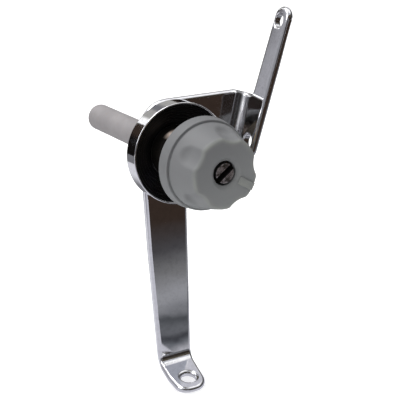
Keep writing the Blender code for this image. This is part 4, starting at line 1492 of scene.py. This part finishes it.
SOOT, DUSK = (0.005, 0.004, 0.004), (0.018, 0.016, 0.016)
UMBER, BROWN = (0.040, 0.027, 0.021), (0.10, 0.085, 0.065)
SLATE, GREY, LILAC = (0.20, 0.20, 0.215), (0.30, 0.30, 0.33), (0.42, 0.42, 0.45)
BEIGE, PALE, HAZE = (0.43, 0.425, 0.41), (0.62, 0.62, 0.68), (0.75, 0.75, 0.8)
WHITE = (1.25, 1.25, 1.25)


def even(tone):
    """The stops of a board in one tone."""
    return [(0, tone), (1, tone)]


def board(name, low, high, stops, across=False, blotch=0.0):
    """A board that shows only in bright metal, between two corners; its tone follows the stops along it.

    It stands facing the user, or lies flat where its corners are level. The stops run up it, or across
    it, and blotch makes their edges uneven.
    """
    low, high = Vector(low), Vector(high)
    span = high - low
    sheet = square(name, 0.5)
    upright = Matrix.Rotation(math.radians(90 if span.z else 0), 4, "X")
    scale = Matrix.Diagonal((span.x, span.z or span.y, 1, 1))
    sheet.matrix_world = Matrix.Translation((low + high) / 2) @ upright @ scale
    material = bpy.data.materials.new(name)
    material.use_nodes = True
    material.node_tree.nodes.clear()
    nodes = Nodes(material.node_tree)
    along = nodes.add("ShaderNodeSeparateXYZ", {}, {"Vector": nodes.place()}, "X" if across else "Y")
    if blotch:
        patches = nodes.noise(nodes.add("ShaderNodeNewGeometry", output="Position"), 60, 3, 0.6)
        along = along + blotch * (patches - 0.5)
    light = nodes.add("ShaderNodeEmission", {}, {"Color": nodes.ramp(along + 0.5, stops)})
    nodes.add("ShaderNodeOutputMaterial", {}, {"Surface": light})
    sheet.data.materials.append(material)
    sheet.visible_camera = False
    sheet.visible_diffuse = False
    sheet.visible_shadow = False
    return sheet


def side_wall(name, x, low, high, stops):
    """A standing board turned to face across the room."""
    wall = board(name, (-0.9, 0, low), (0.9, 0, high), stops)
    turn = Matrix.Rotation(math.radians(90), 4, "Z")
    wall.matrix_world = Matrix.Translation((x, 0, 0)) @ turn @ wall.matrix_world


class LOCK_OT_stage(bpy.types.Operator):
    """Builds the floor, the lights, the reflecting boards and the camera"""

    bl_idname = "lock.stage"
    bl_label = "Stage"

    def execute(self, context):
        scene = context.scene
        scene.view_settings.view_transform = "Standard"
        self.world(scene)
        self.floor()
        area_light("top_box", (-0.25, 0.3, 0.9), (0.7, 0.5), 6)
        area_light("left_box", (-0.85, -0.1, 0.45), (0.4, 0.5), 1.5)
        level = CAD_BOX[0][2] + MM
        self.papers(level)
        self.walls(level)
        self.ceiling()
        self.camera(scene)
        return {"FINISHED"}

    def world(self, scene):
        """White where the camera or bright metal sees it, and a plain even light elsewhere."""
        world = bpy.data.worlds.new("studio")
        scene.world = world
        world.use_nodes = True
        tree = world.node_tree
        tree.nodes.clear()
        nodes = Nodes(tree)
        inputs = {"Color": (1, 1, 1, 1), "Strength": 0.66 + 0.34 * nodes.seen()}
        light = nodes.add("ShaderNodeBackground", {}, inputs)
        nodes.add("ShaderNodeOutputWorld", {}, {"Surface": light})

    def floor(self):
        """White paper just clear of the lock's lowest point."""
        low = min(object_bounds()[0][2], CAD_BOX[0][2]) - 0.5 * MM
        sheet = square("floor", 3)
        sheet.location.z = low
        sheet.data.materials.append(self.floor_material())

    def floor_material(self):
        """White paper, which reads as white in view and in the bright metal and still takes a shadow."""
        material, nodes, shader = new_material("white_floor")
        finish(nodes, shader, Base_Color=(0.9, 0.9, 0.9, 1), Roughness=0.8)
        finish(nodes, shader, Emission_Color=(1, 1, 1, 1), Emission_Strength=nodes.seen() * 0.45)
        return material

    def papers(self, level):
        """Sheets of paper in front of, under and behind the lock, then the dark floor beyond them."""
        front_stops = [
            (0.0, UMBER),
            (0.64, UMBER),
            (0.73, (0.065, 0.063, 0.068)),
            (0.80, (0.20, 0.20, 0.205)),
            (0.85, (0.33, 0.335, 0.355)),
            (0.875, (0.32, 0.325, 0.345)),
            (0.90, (0.18, 0.185, 0.20)),
            (0.915, (0.075, 0.08, 0.088)),
            (0.94, (0.15, 0.155, 0.17)),
            (0.955, (0.045, 0.047, 0.055)),
            (0.97, (0.17, 0.18, 0.20)),
            (0.985, (0.40, 0.40, 0.43)),
            (1.0, PALE),
        ]
        left_stops = [(0, GREY), (0.76, GREY), (0.86, PALE), (1, PALE)]
        behind_stops = [(0, (0.85, 0.85, 0.9)), (0.57, (0.8, 0.8, 0.85)), (0.6, SLATE), (1, SLATE)]
        far_stops = [(0, HAZE), (0.52, HAZE), (0.57, SLATE), (1, SLATE)]
        farther_stops = [(0, HAZE), (0.465, HAZE), (0.485, SLATE), (1, SLATE)]

        def paper(name, left, start, right, end, stops, across=False, blotch=0.0):
            board(name, (left, start, level), (right, end, level), stops, across, blotch)

        paper("paper_front", -0.03, -0.4, 0.8, 0.0, front_stops, blotch=0.045)
        paper("paper_front_far", -0.03, -0.88, 0.8, -0.4, even(UMBER))
        paper("paper_left", -0.9, -0.2, -0.03, 0.0, left_stops, True)
        paper("paper_left_front", -0.9, -0.88, -0.03, -0.2, even(UMBER))
        paper("paper_behind", -0.5, 0.02, 0.3, 0.1, behind_stops, True)
        paper("paper_far", -0.5, 0.1, 0.3, 0.21, far_stops, True)
        paper("paper_farther", -0.5, 0.21, 0.3, 0.245, farther_stops, True)
        paper("paper_farthest", -0.6, 0.245, 0.3, 0.45, even(SLATE))
        paper("paper_under", -0.5, 0.0, 0.3, 0.02, even(PALE))
        paper("floor_behind", -1.2, 0.45, 1.2, 0.88, even(SOOT))
        paper("floor_behind_right", 0.3, 0.27, 1.2, 0.45, [(0, DUSK), (1, UMBER)])

    def walls(self, level):
        """The walls of a dim room, with darker and paler stretches near its floor."""
        wall, top, edge = 0.9, 0.95, 1.2
        shelf = [
            (0.0, LILAC),
            (0.28, LILAC),
            (0.295, WHITE),
            (0.405, WHITE),
            (0.43, BEIGE),
            (0.50, BEIGE),
            (0.53, SLATE),
            (0.57, SLATE),
            (0.61, BEIGE),
            (1.0, BEIGE),
        ]
        dim = [(0, SOOT), (0.7, SOOT), (1, UMBER)]

        def upright(name, left, right, y, low, high, stops, across=False):
            board(name, (left, y, low), (right, y, high), stops, across)

        upright("room_front", -edge, edge, -wall, level, top, [(0, UMBER), (0.25, DUSK), (0.6, BROWN)])
        upright("room_front_left", -0.5, -0.17, -0.89, level, level + 0.5, even(SLATE))
        upright("room_behind", -0.575, edge, 0.88, level, level + 0.35, dim)
        upright("room_behind_high", -0.575, -0.33, 0.88, level + 0.35, level + 0.53, even(UMBER))
        upright("room_behind_left", -edge, -0.575, 0.88, level, level + 0.16, [(0, DUSK), (1, UMBER)])
        upright("wall_behind", -edge, edge, wall, level, top, shelf, True)
        side_wall("wall_left", -edge, level, top, [(0, SLATE), (0.5, LILAC), (1, LILAC)])
        side_wall("wall_right", edge, level, top, [(0, DUSK), (1, SLATE)])

    def ceiling(self):
        """A white ceiling, bluer towards the front, with one dark beam under it on the left."""
        sky = [
            (0.0, (0.33, 0.36, 0.42)),
            (0.06, (0.40, 0.43, 0.50)),
            (0.10, (0.46, 0.48, 0.55)),
            (0.21, WHITE),
            (0.62, WHITE),
            (0.75, PALE),
            (1.0, PALE),
        ]
        beam = [(0, DUSK), (0.72, DUSK), (0.78, GREY), (1, GREY)]
        board("ceiling_left", (-0.36, -0.7, 1.09), (-0.12, 0.06, 1.09), beam)
        board("ceiling", (-1.2, -0.9, 1.1), (1.2, 0.9, 1.1), sky)

    def camera(self, scene):
        """Set from the front left and a little above, turned slightly, at a portrait lens's distance."""
        azimuth, elevation, roll = (math.radians(v) for v in (-28.81, 18.08, -2.57))
        distance = 0.4242
        target = Vector((AXIS.x + 6.55 * MM, RIM_Y, AXIS.z - 18.19 * MM))
        flat = math.cos(elevation)
        back = Vector((math.sin(azimuth) * flat, -math.cos(azimuth) * flat, math.sin(elevation)))
        level = Vector((math.cos(azimuth), math.sin(azimuth), 0))
        above = back.cross(level)
        right = level * math.cos(roll) + above * math.sin(roll)
        up = above * math.cos(roll) - level * math.sin(roll)
        data = bpy.data.cameras.new("camera")
        data.lens = 108
        data.sensor_width = 36
        data.clip_start = 0.01
        camera = linked("camera", data)
        turn = Matrix((right, up, back)).transposed().to_4x4()
        camera.matrix_world = Matrix.Translation(target + back * distance) @ turn
        scene.camera = camera


# ---- panel and registration -------------------------------------------------------------------------


class LOCK_PT_panel(bpy.types.Panel):
    """The lock's sizes, finishes and building steps"""

    bl_idname = "LOCK_PT_panel"
    bl_label = "Window Lock"
    bl_space_type = "VIEW_3D"
    bl_region_type = "UI"
    bl_category = "Window Lock"

    def draw(self, context):
        for step in STEPS:
            self.layout.operator(step.bl_idname)
        for group in GROUPS:
            box = self.layout.box()
            settings = getattr(context.scene, group)
            for name in settings.bl_rna.properties.keys():
                if name not in ("rna_type", "name"):
                    box.prop(settings, name)


GROUPS = {
    "lock_bracket": BracketSizes,
    "lock_cup": CupSizes,
    "lock_knob": KnobSizes,
    "lock_finishes": Finishes,
}
STEPS = (
    LOCK_OT_bracket,
    LOCK_OT_cup,
    LOCK_OT_knob,
    LOCK_OT_plug,
    LOCK_OT_barrel,
    LOCK_OT_bolt,
    LOCK_OT_fixings,
    LOCK_OT_stage,
)
CLASSES = (*GROUPS.values(), *STEPS, LOCK_PT_panel)


def register():
    for cls in CLASSES:
        bpy.utils.register_class(cls)
    for name, group in GROUPS.items():
        setattr(bpy.types.Scene, name, PointerProperty(type=group))


def unregister():
    for name in GROUPS:
        delattr(bpy.types.Scene, name)
    for cls in reversed(CLASSES):
        bpy.utils.unregister_class(cls)


def main():
    register()
    bpy.ops.lock.bracket()
    bpy.ops.lock.cup()
    bpy.ops.lock.knob()
    bpy.ops.lock.plug()
    bpy.ops.lock.barrel()
    bpy.ops.lock.bolt()
    bpy.ops.lock.fixings()
    bpy.ops.lock.stage()


if __name__ == "__main__":
    main()
